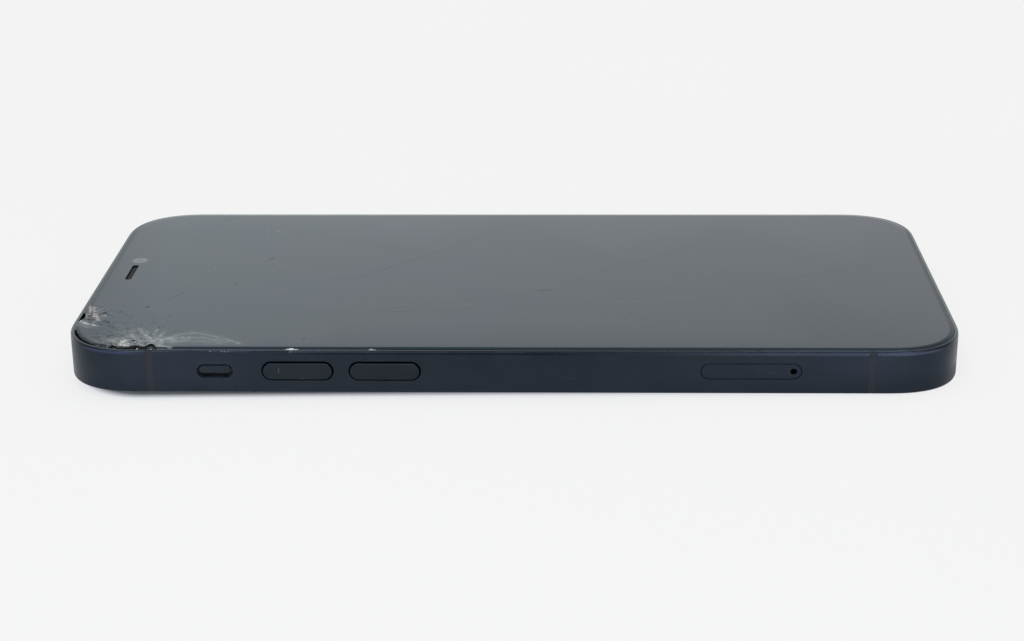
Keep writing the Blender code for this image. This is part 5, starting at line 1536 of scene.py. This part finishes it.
def add_crumbs(lost):
    """Loose splinters of glass that lie where pieces are lost."""
    rng = random.Random(31)
    made = bmesh.new()
    while len(made.faces) < 4 * CRUMBS:
        polygon = rng.choice(lost)
        x = rng.uniform(min(x for x, _ in polygon), max(x for x, _ in polygon))
        y = rng.uniform(min(y for _, y in polygon), max(y for _, y in polygon))
        if not point_in(polygon, x, y) or inset_of(x, y) < 2 * GLASS_INSET / MM:
            continue
        size = rng.uniform(*CRUMB_SIZE) * MM
        turn = rng.uniform(0, math.tau)
        base = Vector((x * MM, y * MM, GLASS_LOW_Z + 0.05 * MM))
        corners = []
        for index in range(3):
            angle = turn + index * math.tau / 3 + rng.uniform(-0.5, 0.5)
            reach = size * rng.uniform(0.5, 1.0)
            rise = rng.uniform(0.0, 0.5) * size
            corner = Vector((reach * math.cos(angle), reach * math.sin(angle), rise))
            corners.append(made.verts.new(base + corner))
        top = made.verts.new(base + Vector((0, 0, size * rng.uniform(0.5, 1.1))))
        kind = GLASS_KINDS[rng.choice(CRUMB_KINDS)]
        made.faces.new(corners[::-1]).material_index = kind
        for first, second in zip(corners, corners[1:] + corners[:1]):
            made.faces.new((first, second, top)).material_index = kind
    add_piece("glass_crumbs", ended(made, "glass_crumbs"), "phone_body", GLASS_FINISHES)


def glass_owners(middles, outlines, lost, gone):
    """Which piece of glass each triangle belongs to, or None where there is no glass."""
    rim = GLASS_INSET / MM - 1e-4
    earpiece = in_millimetres(earpiece_loop(0.0))
    slot_end = max(x for x, _ in earpiece)
    owners = []
    for index, (x, y) in enumerate(middles):
        owner = "cover_glass"
        if index in gone or inset_of(x, y) < rim or (x < slot_end and point_in(earpiece, x, y)):
            owner = None
        elif in_breakage(x, y):
            if any(point_in(polygon, x, y) for polygon in lost):
                owner = None
            else:
                owner = next((name for name, outline in outlines.items() if point_in(outline, x, y)), owner)
        owners.append(owner)
    return owners


def glass_cells(faces, owners, kinds):
    """Numbers each unbroken patch of the surface, which the cracks part from the rest."""
    by_edge = defaultdict(list)
    for index, face in enumerate(faces):
        if owners[index] is None or kinds[index] != "glass":
            continue
        for a, b in zip(face, face[1:] + face[:1]):
            by_edge[(min(a, b), max(a, b))].append(index)
    cell_of = [-1] * len(faces)
    neighbours = defaultdict(list)
    for sharing in by_edge.values():
        if len(sharing) == 2 and owners[sharing[0]] == owners[sharing[1]]:
            neighbours[sharing[0]].append(sharing[1])
            neighbours[sharing[1]].append(sharing[0])
    number = 0
    for index in range(len(faces)):
        if cell_of[index] >= 0 or owners[index] is None or kinds[index] != "glass":
            continue
        cell_of[index] = number
        waiting = [index]
        while waiting:
            for other in neighbours[waiting.pop()]:
                if cell_of[other] < 0:
                    cell_of[other] = number
                    waiting.append(other)
        number += 1
    return cell_of


def cell_shapes(cell_of, faces, places):
    """How each patch leans and sinks: little for a large one, more for a crumb near a blow."""
    members = defaultdict(list)
    for index, cell in enumerate(cell_of):
        if cell >= 0:
            members[cell].append(index)
    rng = random.Random(5)
    shapes = {}
    for cell in sorted(members):
        corners = {corner for index in members[cell] for corner in faces[index]}
        spots = places[sorted(corners)]
        centre = spots.mean(axis=0)
        extent = float(np.ptp(spots, axis=0).max())
        strength = blow_strength(*centre)
        lean_x, lean_y, roll = rng.gauss(0, 1), rng.gauss(0, 1), rng.random()
        kind, lift = "glass", 0.0
        amount = math.radians(0.4) * min(1.0, 2.5 / extent)
        if extent > 20:
            amount = 0.0
        elif extent > 4.0 and centre[0] < -65:
            shapes[cell] = Cell(centre, (0.0, CORNER_LEAN), 0.0, kind)
            continue
        elif extent < 2.0:
            amount = math.radians(0.8 + 8 * strength ** 1.5)
            lift = -0.07 * strength * rng.random()
            if any(math.hypot(centre[0] - x, centre[1] - y) < reach for x, y, reach in WHITE_SPOTS):
                kind = "white" if roll < 0.75 else "pale"
            elif roll < 0.08 * strength:
                kind = "dark"
                lift = -0.25 * strength
            elif roll < 0.36 * strength:
                kind = "pale"
        shapes[cell] = Cell(centre, (lean_x * amount, lean_y * amount), lift, kind)
    return shapes


def crazing(x, y):
    """How far the crazed glass swells or sinks at a place."""
    if not in_breakage(x, y):
        return 0.0
    away = segment_distance((x, y), NEAR_BLOW, END_BLOW) / CRAZED_REACH
    strength = math.exp(-away * away)
    if strength < 0.02:
        return 0.0
    patch = 0.6 + 0.8 * noise.noise(Vector((x * 0.35, y * 0.35, 2.0)))
    waves = sum(height * noise.noise(Vector((x * pitch, y * pitch, 6.0))) for height, pitch in CRAZING)
    return strength * max(patch, 0.1) * waves


def vertex_heights(places, faces, cell_of, shapes, drop):
    """Each corner's height above or below the flat of the glass, in millimetres."""
    belongs = {}
    for index, face in enumerate(faces):
        if cell_of[index] >= 0:
            for corner in face:
                belongs[corner] = cell_of[index]
    heights = np.zeros(len(places))
    for index, (x, y) in enumerate(places):
        height = edge_height(inset_of(x, y)) - drop[index] - chip_drop(x, y) + crazing(x, y)
        cell = shapes.get(belongs.get(index))
        if cell is not None:
            leaning = cell.lean[0] * (x - cell.centre[0]) + cell.lean[1] * (y - cell.centre[1])
            height += max(-0.3, min(0.06, leaning + cell.lift))
        heights[index] = height
    return heights


def make_glass_piece(name, members, surface, middles, kinds):
    """One closed piece of glass: its upper surface, its walls and a plain underside."""
    made = bmesh.new()
    layers = [made.verts.layers.float.new(label) for label in ("bloom", "warmth")]
    camera = (FRONT_CAMERA[0] / MM, FRONT_CAMERA[1] / MM)
    corners = {}
    for index in members:
        for corner in surface.faces[index]:
            if corner not in corners:
                x, y = surface.places[corner]
                vert = made.verts.new((x * MM, y * MM, FRONT_Z + surface.heights[corner] * MM))
                for layer, look in zip(layers, surface.looks):
                    vert[layer] = look[corner]
                corners[corner] = vert
    for index in members:
        face = made.faces.new([corners[corner] for corner in surface.faces[index]])
        kind = kinds[index]
        x, y = middles[index]
        chipped = chip_drop(x, y)
        if chipped > 0.03:
            kind = "white" if chipped > 0.07 else "pale"
        elif math.hypot(x - camera[0], y - camera[1]) < FRONT_CAMERA[2] / MM:
            kind = "window"
        face.material_index = GLASS_KINDS[kind]
    rim = [edge for edge in made.edges if edge.is_boundary]
    lower = {}
    for vert in {vert: None for edge in rim for vert in edge.verts}:
        lower[vert] = made.verts.new((vert.co.x, vert.co.y, GLASS_LOW_Z))
    for edge in rim:
        a, b = edge.verts
        if edge.link_loops[0].vert != a:
            a, b = b, a
        wall = made.faces.new((b, a, lower[a], lower[b]))
        inset = inset_of(a.co.x / MM, a.co.y / MM)
        wall.material_index = GLASS_KINDS["glass" if inset < GLASS_INSET / MM + 0.02 else "dark"]
    close_underside(made, rim, lower)
    mesh = sharpened(ended(made, name), 16)
    add_piece(f"fine_{name}", mesh, "phone_body", GLASS_FINISHES, [name])


def close_underside(made, rim, lower):
    """Fills the underside with triangles between the feet of the walls."""
    feet = list(lower.values())
    number = {vert: index for index, vert in enumerate(feet)}
    points = [Vector((vert.co.x / MM, vert.co.y / MM)) for vert in feet]
    edges = [tuple(number[lower[vert]] for vert in edge.verts) for edge in rim]
    _, _, faces, origins, _, _ = geometry.delaunay_2d_cdt(points, edges, [], 2, 1e-6)
    for face in faces:
        sources = [origins[corner][0] if origins[corner] else None for corner in face]
        if None in sources or len(set(sources)) < 3:
            continue
        corners = [feet[source] for source in sources]
        if made.faces.get(corners) is None:
            underside = made.faces.new(reversed(corners))
            underside.material_index = GLASS_KINDS["dark"]


# Earpiece

MESH_PITCH = 0.25 * MM
MESH_HOLE = 0.09 * MM


def plate(outline, holes, low, high):
    """A flat closed plate with holes through it, from outlines seen from the front."""
    plan = Plan()
    for loop in (outline, *holes):
        plan.path(in_millimetres(loop), closed=True)
    verts, _, faces, _, _, _ = geometry.delaunay_2d_cdt(plan.points, plan.edges, [], 2, 1e-6)
    made = bmesh.new()
    upper = [made.verts.new((v.x * MM, v.y * MM, high)) for v in verts]
    lower = [made.verts.new((v.x * MM, v.y * MM, low)) for v in verts]
    for face in faces:
        made.faces.new([upper[corner] for corner in face])
    rim = [tuple(edge.verts) for edge in made.edges if edge.is_boundary]
    for face in faces:
        made.faces.new([lower[corner] for corner in reversed(face)])
    below = dict(zip(upper, lower))
    for a, b in rim:
        made.faces.new((a, b, below[b], below[a]))
    return made


def add_earpiece_mesh():
    low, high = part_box("earpiece_mesh")
    centre = middle_of("earpiece_mesh")[:2]
    width, length, _ = size_of("earpiece_mesh")
    outline = grown_loop(centre, (width, length), width / 2, 5)
    turns = [math.pi / 3 * step for step in range(6)]
    holes = []
    rows = int(length / MESH_PITCH)
    for row in range(-rows, rows + 1):
        for column in range(-3, 4):
            x = (column + 0.5 * (row % 2)) * MESH_PITCH
            y = row * MESH_PITCH * 0.87
            beyond = max(abs(y) - (length - width) / 2, 0.0)
            if math.hypot(x, beyond) < width / 2 - 1.5 * MESH_HOLE:
                holes.append([
                    (centre[0] + x + MESH_HOLE * math.cos(turn), centre[1] + y + MESH_HOLE * math.sin(turn))
                    for turn in turns
                ])
    mesh = to_mesh(plate(outline, holes, low.z, high.z), "earpiece_mesh")
    dress("earpiece_mesh", mesh, [MESH_BLACK])


# Back glass and cameras

def lathe(profile, node, steps=16, wrap=False):
    """A round mesh about the upright axis through a node's middle, by (radius, height) pairs."""
    centre = middle_of(node)[:2]
    rings = [place_points(circle(centre, radius, steps), height, "Z") for radius, height in profile]
    return closed_mesh(rings, "lathe", wrap)


ISLAND_POWER = 2.2
HOLE_REACH = 3 * MM


def add_back_glass():
    def island_ring(grow, height):
        loop = grown_loop(ISLAND_PLACE, ISLAND_SIZE, ISLAND_CORNER + grow, 14, grow, ISLAND_POWER)
        return place_points(loop, BACK_Z + height, "Z")

    edge = quarter_round(BACK_EDGE, 6)[::-1]
    rings = [place_points(phone_loop(GLASS_INSET + inward), BACK_Z + down, "Z") for inward, down in edge]
    rings.append(place_points(phone_loop(GLASS_INSET), BACK_Z + BACK_GLASS, "Z"))
    back = closed_mesh(rings, "back_glass")
    rings = [island_ring(-inward, down - ISLAND_HEIGHT) for inward, down in edge]
    rings += [island_ring(inward, -down) for inward, down in quarter_round(ISLAND_FOOT, 5)]
    rings.append(island_ring(ISLAND_FOOT, BACK_GLASS / 2))
    island = closed_mesh(rings, "island")
    holes = {"camera_ring_upper": RING_OUTER, "camera_ring_lower": RING_OUTER}
    holes["flash_lens"] = size_of("flash_lens")[0] / 2
    ends = (BACK_Z - HOLE_REACH, BACK_Z + HOLE_REACH)
    tools = [lathe([(radius + HOLE_GAP, end) for end in ends], node) for node, radius in holes.items()]
    mesh = carved(carved(back, [island], "UNION"), tools)
    piece = dress("back_glass", mesh, [REAR_GLASS, ISLAND_GLASS])
    for face in piece.data.polygons:
        if face.center.z < BACK_Z - BACK_EDGE:
            face.material_index = 1


RING_LIP = 0.25 * MM
LENS_BEVEL = 0.06 * MM
HOUSING_LOW = BACK_Z + 1.45 * MM
HOUSING_CORNER = 0.6 * MM
HOUSING_EDGE = 0.3 * MM
# The barrel's steps from its rim in to its lens, as (radius, depth), and the lens's rise
BARREL_STEPS = ((3.5, 0), (3.3, 0.2), (2.5, 0.7), (2.5, 0.9), (2.1, 0.9))
LENS_RISE = 0.5


def add_rear_camera(label):
    """A camera's metal ring, its glass cover, and the stepped barrel and lens behind it."""
    node = f"camera_ring_{label}"
    low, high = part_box(node)
    profile = [(RING_OUTER, high.z)]
    profile += [(RING_OUTER - inward, low.z + down) for inward, down in quarter_round(RING_EDGE, 6)]
    profile += [(RING_INNER + RING_LIP, low.z), (RING_INNER, low.z + RING_LIP), (RING_INNER, high.z)]
    dress(node, lathe(profile, node, 20, True), [BAND_METAL])

    node = f"camera_lens_{label}"
    low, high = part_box(node)
    radius = size_of(node)[0] / 2
    profile = [(radius, high.z), (radius, low.z + LENS_BEVEL), (radius - LENS_BEVEL, low.z)]
    dress(node, lathe(profile, f"camera_ring_{label}", 20), [LENS_COVER])

    node = f"rear_camera_{label}"
    low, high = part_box(node)
    centre = middle_of(f"camera_ring_{label}")[:2]
    size = size_of(node)[:2]
    housing = rounded_cap(
        lambda grow: grown_loop(centre, size, HOUSING_CORNER, 4, grow),
        "Z", HOUSING_LOW, high.z, HOUSING_EDGE)
    profile = [(LENS_BARREL, HOUSING_LOW + 0.2 * MM), (LENS_BARREL, low.z + LENS_BEVEL)]
    profile.append((LENS_BARREL - LENS_BEVEL, low.z))
    profile += [(radius * MM, low.z + depth * MM) for radius, depth in BARREL_STEPS]
    lens_radius, lens_depth = BARREL_STEPS[-1]
    for turn in (math.pi / 2 * step / 8 for step in range(1, 8)):
        level = lens_depth - LENS_RISE * math.sin(turn)
        profile.append((lens_radius * MM * math.cos(turn), low.z + level * MM))
    barrel = lathe(profile, f"camera_ring_{label}")
    piece = dress(node, carved(housing, [barrel], "UNION"), [LENS_BLACK, COATED_LENS])
    for face in piece.data.polygons:
        reach = math.hypot(face.center.x - centre[0], face.center.y - centre[1])
        if reach < lens_radius * MM and face.center.z < low.z + (lens_depth - 0.01) * MM:
            face.material_index = 1


FLASH_RINGS = 5
FLASH_BEVEL = 0.08 * MM
FLASH_GROOVE = 0.07 * MM


def add_flash():
    """A flash lens with shallow rings moulded in its face."""
    low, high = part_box("flash_lens")
    radius = size_of("flash_lens")[0] / 2
    profile = [(radius, high.z), (radius, low.z + FLASH_BEVEL), (radius - FLASH_BEVEL, low.z)]
    for index in range(2 * FLASH_RINGS):
        share = 1 - (index + 1) / (2 * FLASH_RINGS + 1)
        profile.append((share * (radius - 0.1 * MM), low.z + (FLASH_GROOVE if index % 2 else 0.0)))
    dress("flash_lens", lathe(profile, "flash_lens"), [FLASH_WHITE])


# Charging end

PORT_CAVITY = (8.3 * MM, 2.4 * MM)
PORT_CAVITY_DEPTH = 6.0 * MM
PORT_CAVITY_EDGE = 0.12 * MM
PORT_CORNER = 1.1 * MM
PORT_MARGIN = 0.15 * MM
TONGUE = (6.0 * MM, 0.7 * MM)
TONGUE_CORNER = 0.25 * MM
TONGUE_EDGE = 0.1 * MM
CONTACTS = 8
CONTACT_FROM = 4.2 * MM
CONTACT_TO = 1.0 * MM
CONTACT_PITCH = 0.66 * MM
CONTACT_WIDTH = 0.38 * MM
CONTACT_RISE = 0.03 * MM
SCREW_HEAD_DEPTH = 0.8 * MM
SCREW_HEAD_EDGE = 0.18 * MM
SCREW_SHANK = 0.45 * MM
SCREW_SHANK_START = 0.6 * MM
SCREW_SHANK_EDGE = 0.1 * MM
SCREW_SLOT = (0.25 * MM, 2 * MM, 0.125 * MM)


def add_charging_port():
    low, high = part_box("charging_port")
    _, *size = size_of("charging_port")
    shell = rounded_cap(
        lambda grow: grown_loop((0, MIDDLE_Z), size, PORT_CORNER, 8, grow), "X", low.x, high.x, PORT_MARGIN)
    cavity = flared_tool(
        lambda grow: stadium((0, MIDDLE_Z), *PORT_CAVITY, 12, grow),
        "X", high.x, -1, PORT_CAVITY_DEPTH, PORT_CAVITY_EDGE)
    added = [rounded_cap(
        lambda grow: grown_loop((0, MIDDLE_Z), TONGUE, TONGUE_CORNER, 4, grow),
        "X", low.x + PORT_MARGIN, high.x - PORT_MARGIN, TONGUE_EDGE)]
    half = TONGUE[1] / 2 + CONTACT_RISE
    for index in range(CONTACTS):
        y = (index - (CONTACTS - 1) / 2) * CONTACT_PITCH
        added.append(box_mesh(
            (high.x - CONTACT_FROM, y - CONTACT_WIDTH / 2, MIDDLE_Z - half),
            (high.x - CONTACT_TO, y + CONTACT_WIDTH / 2, MIDDLE_Z + half)))
    mesh = carved(carved(shell, [cavity]), added, "UNION")
    piece = dress("charging_port", mesh, [STAMPED_STEEL, LENS_BLACK, CONTACT_GOLD])
    for face in piece.data.polygons:
        x, y, z = face.center
        level = abs(z - MIDDLE_Z)
        beside = abs(y) < TONGUE[0] / 2 + PORT_MARGIN / 2 and level < TONGUE[1] / 2 + PORT_MARGIN / 2
        if beside and x > low.x + 2 * PORT_MARGIN:
            raised = TONGUE[1] / 2 + CONTACT_RISE / 2 < level
            face.material_index = 2 if raised else 1


def add_screws():
    for node in ("bottom_screw_left", "bottom_screw_right"):
        low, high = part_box(node)
        _, y, z = middle_of(node)
        head = rounded_cap(
            lambda grow: circle((y, z), SCREW_HEAD + grow, 8),
            "X", high.x - SCREW_HEAD_DEPTH, high.x, SCREW_HEAD_EDGE)
        shank = rounded_cap(
            lambda grow: circle((y, z), SCREW_SHANK + grow, 6),
            "X", high.x - SCREW_SHANK_START, low.x, SCREW_SHANK_EDGE)
        depth, reach, half = SCREW_SLOT
        slot = box_mesh((high.x - depth, y - reach, z - half), (high.x + OVERSHOOT, y + reach, z + half))
        mesh = carved(carved(head, [shank], "UNION"), [slot])
        dress(node, mesh, [DARK_STEEL])


# Pieces inside, which keep the frame's own meshes

INNER_FINISHES = {
    "display_bezel": BLACK_PLASTIC,
    "display_panel": DISPLAY_FILM,
    "display_shield": STAMPED_STEEL,
    "earpiece_speaker": BLACK_PLASTIC,
    "front_camera": LENS_BLACK,
    "volume_switch_strip": BLACK_PLASTIC,
    "side_switch_strip": BLACK_PLASTIC,
    "ring_switch_body": BLACK_PLASTIC,
    "sim_reader": STAMPED_STEEL,
    "sim_eject_rod": DARK_STEEL,
    "sim_eject_lever": STAMPED_STEEL,
    "mid_plate": PLATE_METAL,
    "charging_coil": COIL_WIRE,
    "battery": CELL_WRAP,
    "logic_board": BOARD_MASK,
    "board_shield_upper": STAMPED_STEEL,
    "board_shield_lower": STAMPED_STEEL,
    "loudspeaker": BLACK_PLASTIC,
    "haptic_case": STAMPED_STEEL,
    "haptic_cover": PLATE_METAL,
    "haptic_mass": DARK_STEEL,
    "charging_board": BOARD_MASK,
}


SPRING_HALF = 0.09 * MM
SPRING_WAVES = 4
SPRING_STEPS = 14 * SPRING_WAVES


def add_haptic_spring(side, towards_mass):
    """A strip in waves between the motor's wall and its sliding mass."""
    node = f"haptic_spring_{side}"
    low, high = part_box(node)
    middle = middle_of(node)[0]
    reach = size_of(node)[0] / 2 - 2 * SPRING_HALF
    from_y, to_y = low.y + 1.5 * SPRING_HALF, high.y - 1.5 * SPRING_HALF
    line = []
    for share in (step / SPRING_STEPS for step in range(SPRING_STEPS + 1)):
        across = middle + reach * math.sin(math.pi * SPRING_WAVES * share)
        line.append(Vector((across, from_y + (to_y - from_y) * share)))
    rings = []
    for before, here, after in zip(line[:1] + line, line, line[1:] + line[-1:]):
        along = (after - before).normalized()
        lean = Vector((-along.y, along.x)) * SPRING_HALF
        corners = ((here + lean, low.z), (here + lean, high.z), (here - lean, high.z), (here - lean, low.z))
        rings.append([(place.x, place.y, z) for place, z in corners])
    spring = add_object(f"fine_{node}", sharpened(to_mesh(lofted(rings), node)))
    spring.data.materials.append(STAMPED_STEEL)
    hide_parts(node)
    ends = [(middle, low.y, low.z), (middle, high.y, low.z)]
    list(ends if towards_mass > 0 else ends[::-1])
    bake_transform(spring)


def dress_inner_pieces():
    for node, finish in INNER_FINISHES.items():
        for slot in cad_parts[node].material_slots:
            slot.material = finish


# Stage, light and camera

CAMERA_PLACE = Vector((9.37 * MM, -342.51 * MM, 129.78 * MM + BACK_Z))
CAMERA_RIGHT = Vector((0.999617, 0.026383, -0.008298))
CAMERA_UP = Vector((-0.001665, 0.356881, 0.934148))
FOCAL_PIXELS = 2061.6
IMAGE_WIDTH = 1024
SENSOR = 36.0
CLIP = (0.01, 50.0)


def add_camera():
    data = bpy.data.cameras.new("camera")
    data.sensor_fit = "HORIZONTAL"
    data.sensor_width = SENSOR
    data.lens = FOCAL_PIXELS / IMAGE_WIDTH * SENSOR
    data.clip_start, data.clip_end = CLIP
    camera = add_object("camera", data)
    right = CAMERA_RIGHT.normalized()
    back = right.cross(CAMERA_UP).normalized()
    up = back.cross(right)
    turn = Matrix((right, up, back)).transposed()
    camera.matrix_world = Matrix.Translation(CAMERA_PLACE) @ turn.to_4x4()
    bpy.context.scene.camera = camera


# The floor turns about the line under the camera rings
FLOOR_SHIFT = 58 * MM
FLOOR_HALF = 3.0
FLOOR_DROP = 0.02 * MM
# How much of the floor's look is its own even glow, from under the phone outwards
FLOOR_EVENNESS = (0.04, 0.87)
EVENNESS_PLACE = (-3.0 * MM, -1.0 * MM)
# The faint painted shadow in the floor's glow: where it ends, by distance from the phone's outline
PAINTED_SHADOW_PLACE = (-3 * MM, 0.5 * MM)
PAINTED_SHADOW_COLOUR = (0.74, 0.80, 0.90)
# Painted light in the floor's glow that reflections see, by distance along the phone from its middle
PAINTED_FLOOR_SHINE = (
    (0.0, (0.88, 0.885, 0.88)), (30 * MM, (0.98, 0.98, 0.97)), (46 * MM, (1.2, 1.18, 1.2)),
    (58 * MM, (1.6, 1.55, 1.75)), (72 * MM, (1.3, 1.3, 1.35)), (95 * MM, (0.9, 0.9, 0.9)))
UNDERSIDE_REACH = 7 * MM


def floor_finish():
    """Matt and pale. Cameras and reflections see it nearly evenly lit, with a faint shadow that is partly
    real and partly painted into its glow.

    It is clear from below, and to light that reaches the phone's underside, so that its back can be
    looked at. Its glow, as reflections see it, is painted bluer and brighter beside the phone's two ends.
    """
    made = Finish("floor_finish")
    base = made.mix(made.ramp(made.noise(3.0, 2.0), 0.3, 0.7), (0.885, 0.885, 0.880), (0.90, 0.90, 0.895))
    made.set(Base_Color=base, Roughness=0.9, Specular_IOR_Level=0.0)
    # Painted light: the glow that reflections see is brighter and bluer beside the phone's two ends.
    painted_shine = made.steps(made.distance(made.axis("X"), FLOOR_SHIFT), PAINTED_FLOOR_SHINE)
    beside = rounded_box_distance(made, (FLOOR_SHIFT, 0), (HALF_LENGTH, HALF_WIDTH), CORNER_REACH)
    # Painted shadow: the glow is tinted a pale blue-grey near and under the phone's outline.
    painted_shade = made.mix(made.ramp(beside, *PAINTED_SHADOW_PLACE), PAINTED_SHADOW_COLOUR, base)
    glow = made.mix(made.seen_by("Glossy"), painted_shade, painted_shine)
    even = made.add("ShaderNodeEmission", {"Color": glow, "Strength": 1.0}).outputs[0]
    evenness = made.ramp(beside, *EVENNESS_PLACE, *FLOOR_EVENNESS)
    share = made.product(made.seen_by("Camera", "Glossy", "Transmission"), evenness)
    lit = made.either(share, made.shader.outputs["BSDF"], even)
    below = made.add("ShaderNodeNewGeometry").outputs["Backfacing"]
    reach = made.add("ShaderNodeLightPath").outputs["Ray Length"]
    unseen = made.math("SUBTRACT", 1.0, made.seen_by("Camera"))
    close = made.product(made.math("LESS_THAN", reach, UNDERSIDE_REACH), unseen)
    clear = made.add("ShaderNodeBsdfTransparent").outputs["BSDF"]
    shown = made.either(made.math("MAXIMUM", below, close), lit, clear)
    made.link(shown, made.output.inputs["Surface"])
    return made.material


def add_floor():
    """A wide pale floor, tilted so that the phone rests on its camera rings and its charging end."""
    made = bmesh.new()
    bmesh.ops.create_grid(made, x_segments=8, y_segments=8, size=FLOOR_HALF)
    floor = add_object("floor", to_mesh(made, "floor"))
    floor.rotation_euler = (0, -math.atan2(BACK_Z, HALF_LENGTH + FLOOR_SHIFT), 0)
    floor.location = (-FLOOR_SHIFT, 0, -FLOOR_DROP)
    floor.data.materials.append(floor_finish())


AMBIENT = 0.62
AMBIENT_COLOUR = (0.97, 0.985, 1.0)
SURROUND = (0.86, 0.875, 0.885)
# What reflections see of the room, by how far up they point, and its tint to the left and the right
ROOM = (
    (-1.0, (0.86, 0.87, 0.88)), (0.305, (0.91, 0.93, 0.95)), (0.34, (0.91, 0.92, 0.93)),
    (0.39, (0.90, 0.90, 0.91)), (0.45, (0.62, 0.64, 0.66)), (0.60, (0.30, 0.31, 0.32)),
    (1.0, (0.22, 0.23, 0.24)))
ROOM_LEFT = (1.03, 1.05, 1.06)
ROOM_RIGHT = (0.975, 0.95, 0.955)
ROOM_SPAN = 0.16
# The far room's two sides, which the glass's sloping ends see, from and to where they darken
FAR_SIDES_X = (0.195, 0.31)
FAR_SIDES_Y = (0.6, 0.8)
FAR_SIDES_DARK = 0.42
# A bright patch overhead, in front and to either side, from and to where it grows
CORNER_LIGHT = (2.9, 2.9, 3.2)
CORNER_LIGHT_MIDDLE = -0.03
CORNER_LIGHT_X = (0.13, 0.26)
CORNER_LIGHT_Y = (-0.35, 0.0)
CORNER_LIGHT_Z = (0.58, 0.80)


def reflected_room(room):
    """The colour of the room that reflections see in each direction."""
    direction = room.add("ShaderNodeTexCoord").outputs["Generated"]
    heading = room.add("ShaderNodeSeparateXYZ", {0: direction}).outputs
    across = room.mix(room.ramp(heading["X"], -ROOM_SPAN, ROOM_SPAN), ROOM_LEFT, ROOM_RIGHT)
    walls = room.vector("MULTIPLY", room.steps(heading["Z"], ROOM), across)
    aside = room.product(room.ramp(room.math("ABSOLUTE", heading["X"]), *FAR_SIDES_X), FAR_SIDES_DARK)
    dark_sides = room.product(aside, room.ramp(heading["Y"], *FAR_SIDES_Y))
    walls = room.vector("MULTIPLY", walls, room.math("SUBTRACT", 1.0, dark_sides))
    beside = room.ramp(room.distance(heading["X"], CORNER_LIGHT_MIDDLE), *CORNER_LIGHT_X)
    in_front = room.ramp(heading["Y"], *CORNER_LIGHT_Y, 1.0, 0.0)
    overhead = room.product(in_front, room.ramp(heading["Z"], *CORNER_LIGHT_Z))
    lights = room.vector("MULTIPLY", CORNER_LIGHT, room.product(beside, overhead))
    return room.vector("ADD", walls, lights)


def add_world():
    """An even pale room. Reflections see it bright low down and dim overhead."""
    world = bpy.data.worlds.new("world")
    bpy.context.scene.world = world
    world.use_nodes = True
    world.cycles.sampling_method = "NONE"
    room = Nodes(world.node_tree)

    def background(colour, strength=1.0):
        return room.add("ShaderNodeBackground", {"Color": colour, "Strength": strength}).outputs[0]

    dim = background(AMBIENT_COLOUR, AMBIENT)
    direct = room.either(room.seen_by("Camera", "Transmission"), dim, background(SURROUND))
    shown = room.either(room.seen_by("Glossy"), direct, background(reflected_room(room)))
    room.link(shown, room.add("ShaderNodeOutputWorld").inputs["Surface"])


def add_lamp(name, place, size, power):
    """A lamp that points at the phone."""
    data = bpy.data.lights.new(name, "AREA")
    data.shape = "RECTANGLE"
    data.size, data.size_y = size
    data.energy = power
    lamp = add_object(name, data)
    lamp.location = place
    lamp.rotation_mode = "QUATERNION"
    lamp.rotation_quaternion = (-Vector(place)).to_track_quat("-Z", "Y")
    return data, lamp


SOFTBOX = ((0.0, 0.15, 1.1), (1.2, 0.9), 5.0)
SIDE_LIGHT = ((0.27, -0.66, 0.70), (0.3, 0.3), 1.6)
SIDE_LIGHT_COLOUR = (0.74, 0.84, 1.0)


def add_lights():
    """A broad soft light overhead, which reflections don't see, and two bluish ones low in front."""
    _, softbox = add_lamp("softbox", *SOFTBOX)
    softbox.visible_glossy = False
    (x, y, z), size, power = SIDE_LIGHT
    for name, side in (("side_left", -1), ("side_right", 1)):
        data, _ = add_lamp(name, (side * x, y, z), size, power)
        data.color = SIDE_LIGHT_COLOUR


bpy.context.scene.view_settings.view_transform = "Standard"
add_camera()
add_world()
add_lights()
add_floor()
add_band()
add_side_key("volume_up_button", "volume_up_key", -1)
add_side_key("volume_down_button", "volume_down_key", -1)
add_side_key("side_button", "side_key", 1)
add_ring_switch()
add_tray()
add_front_glass()
add_earpiece_mesh()
add_back_glass()
add_rear_camera("upper")
add_rear_camera("lower")
add_flash()
add_charging_port()
add_screws()
add_haptic_spring("left", 1)
add_haptic_spring("right", -1)
dress_inner_pieces()
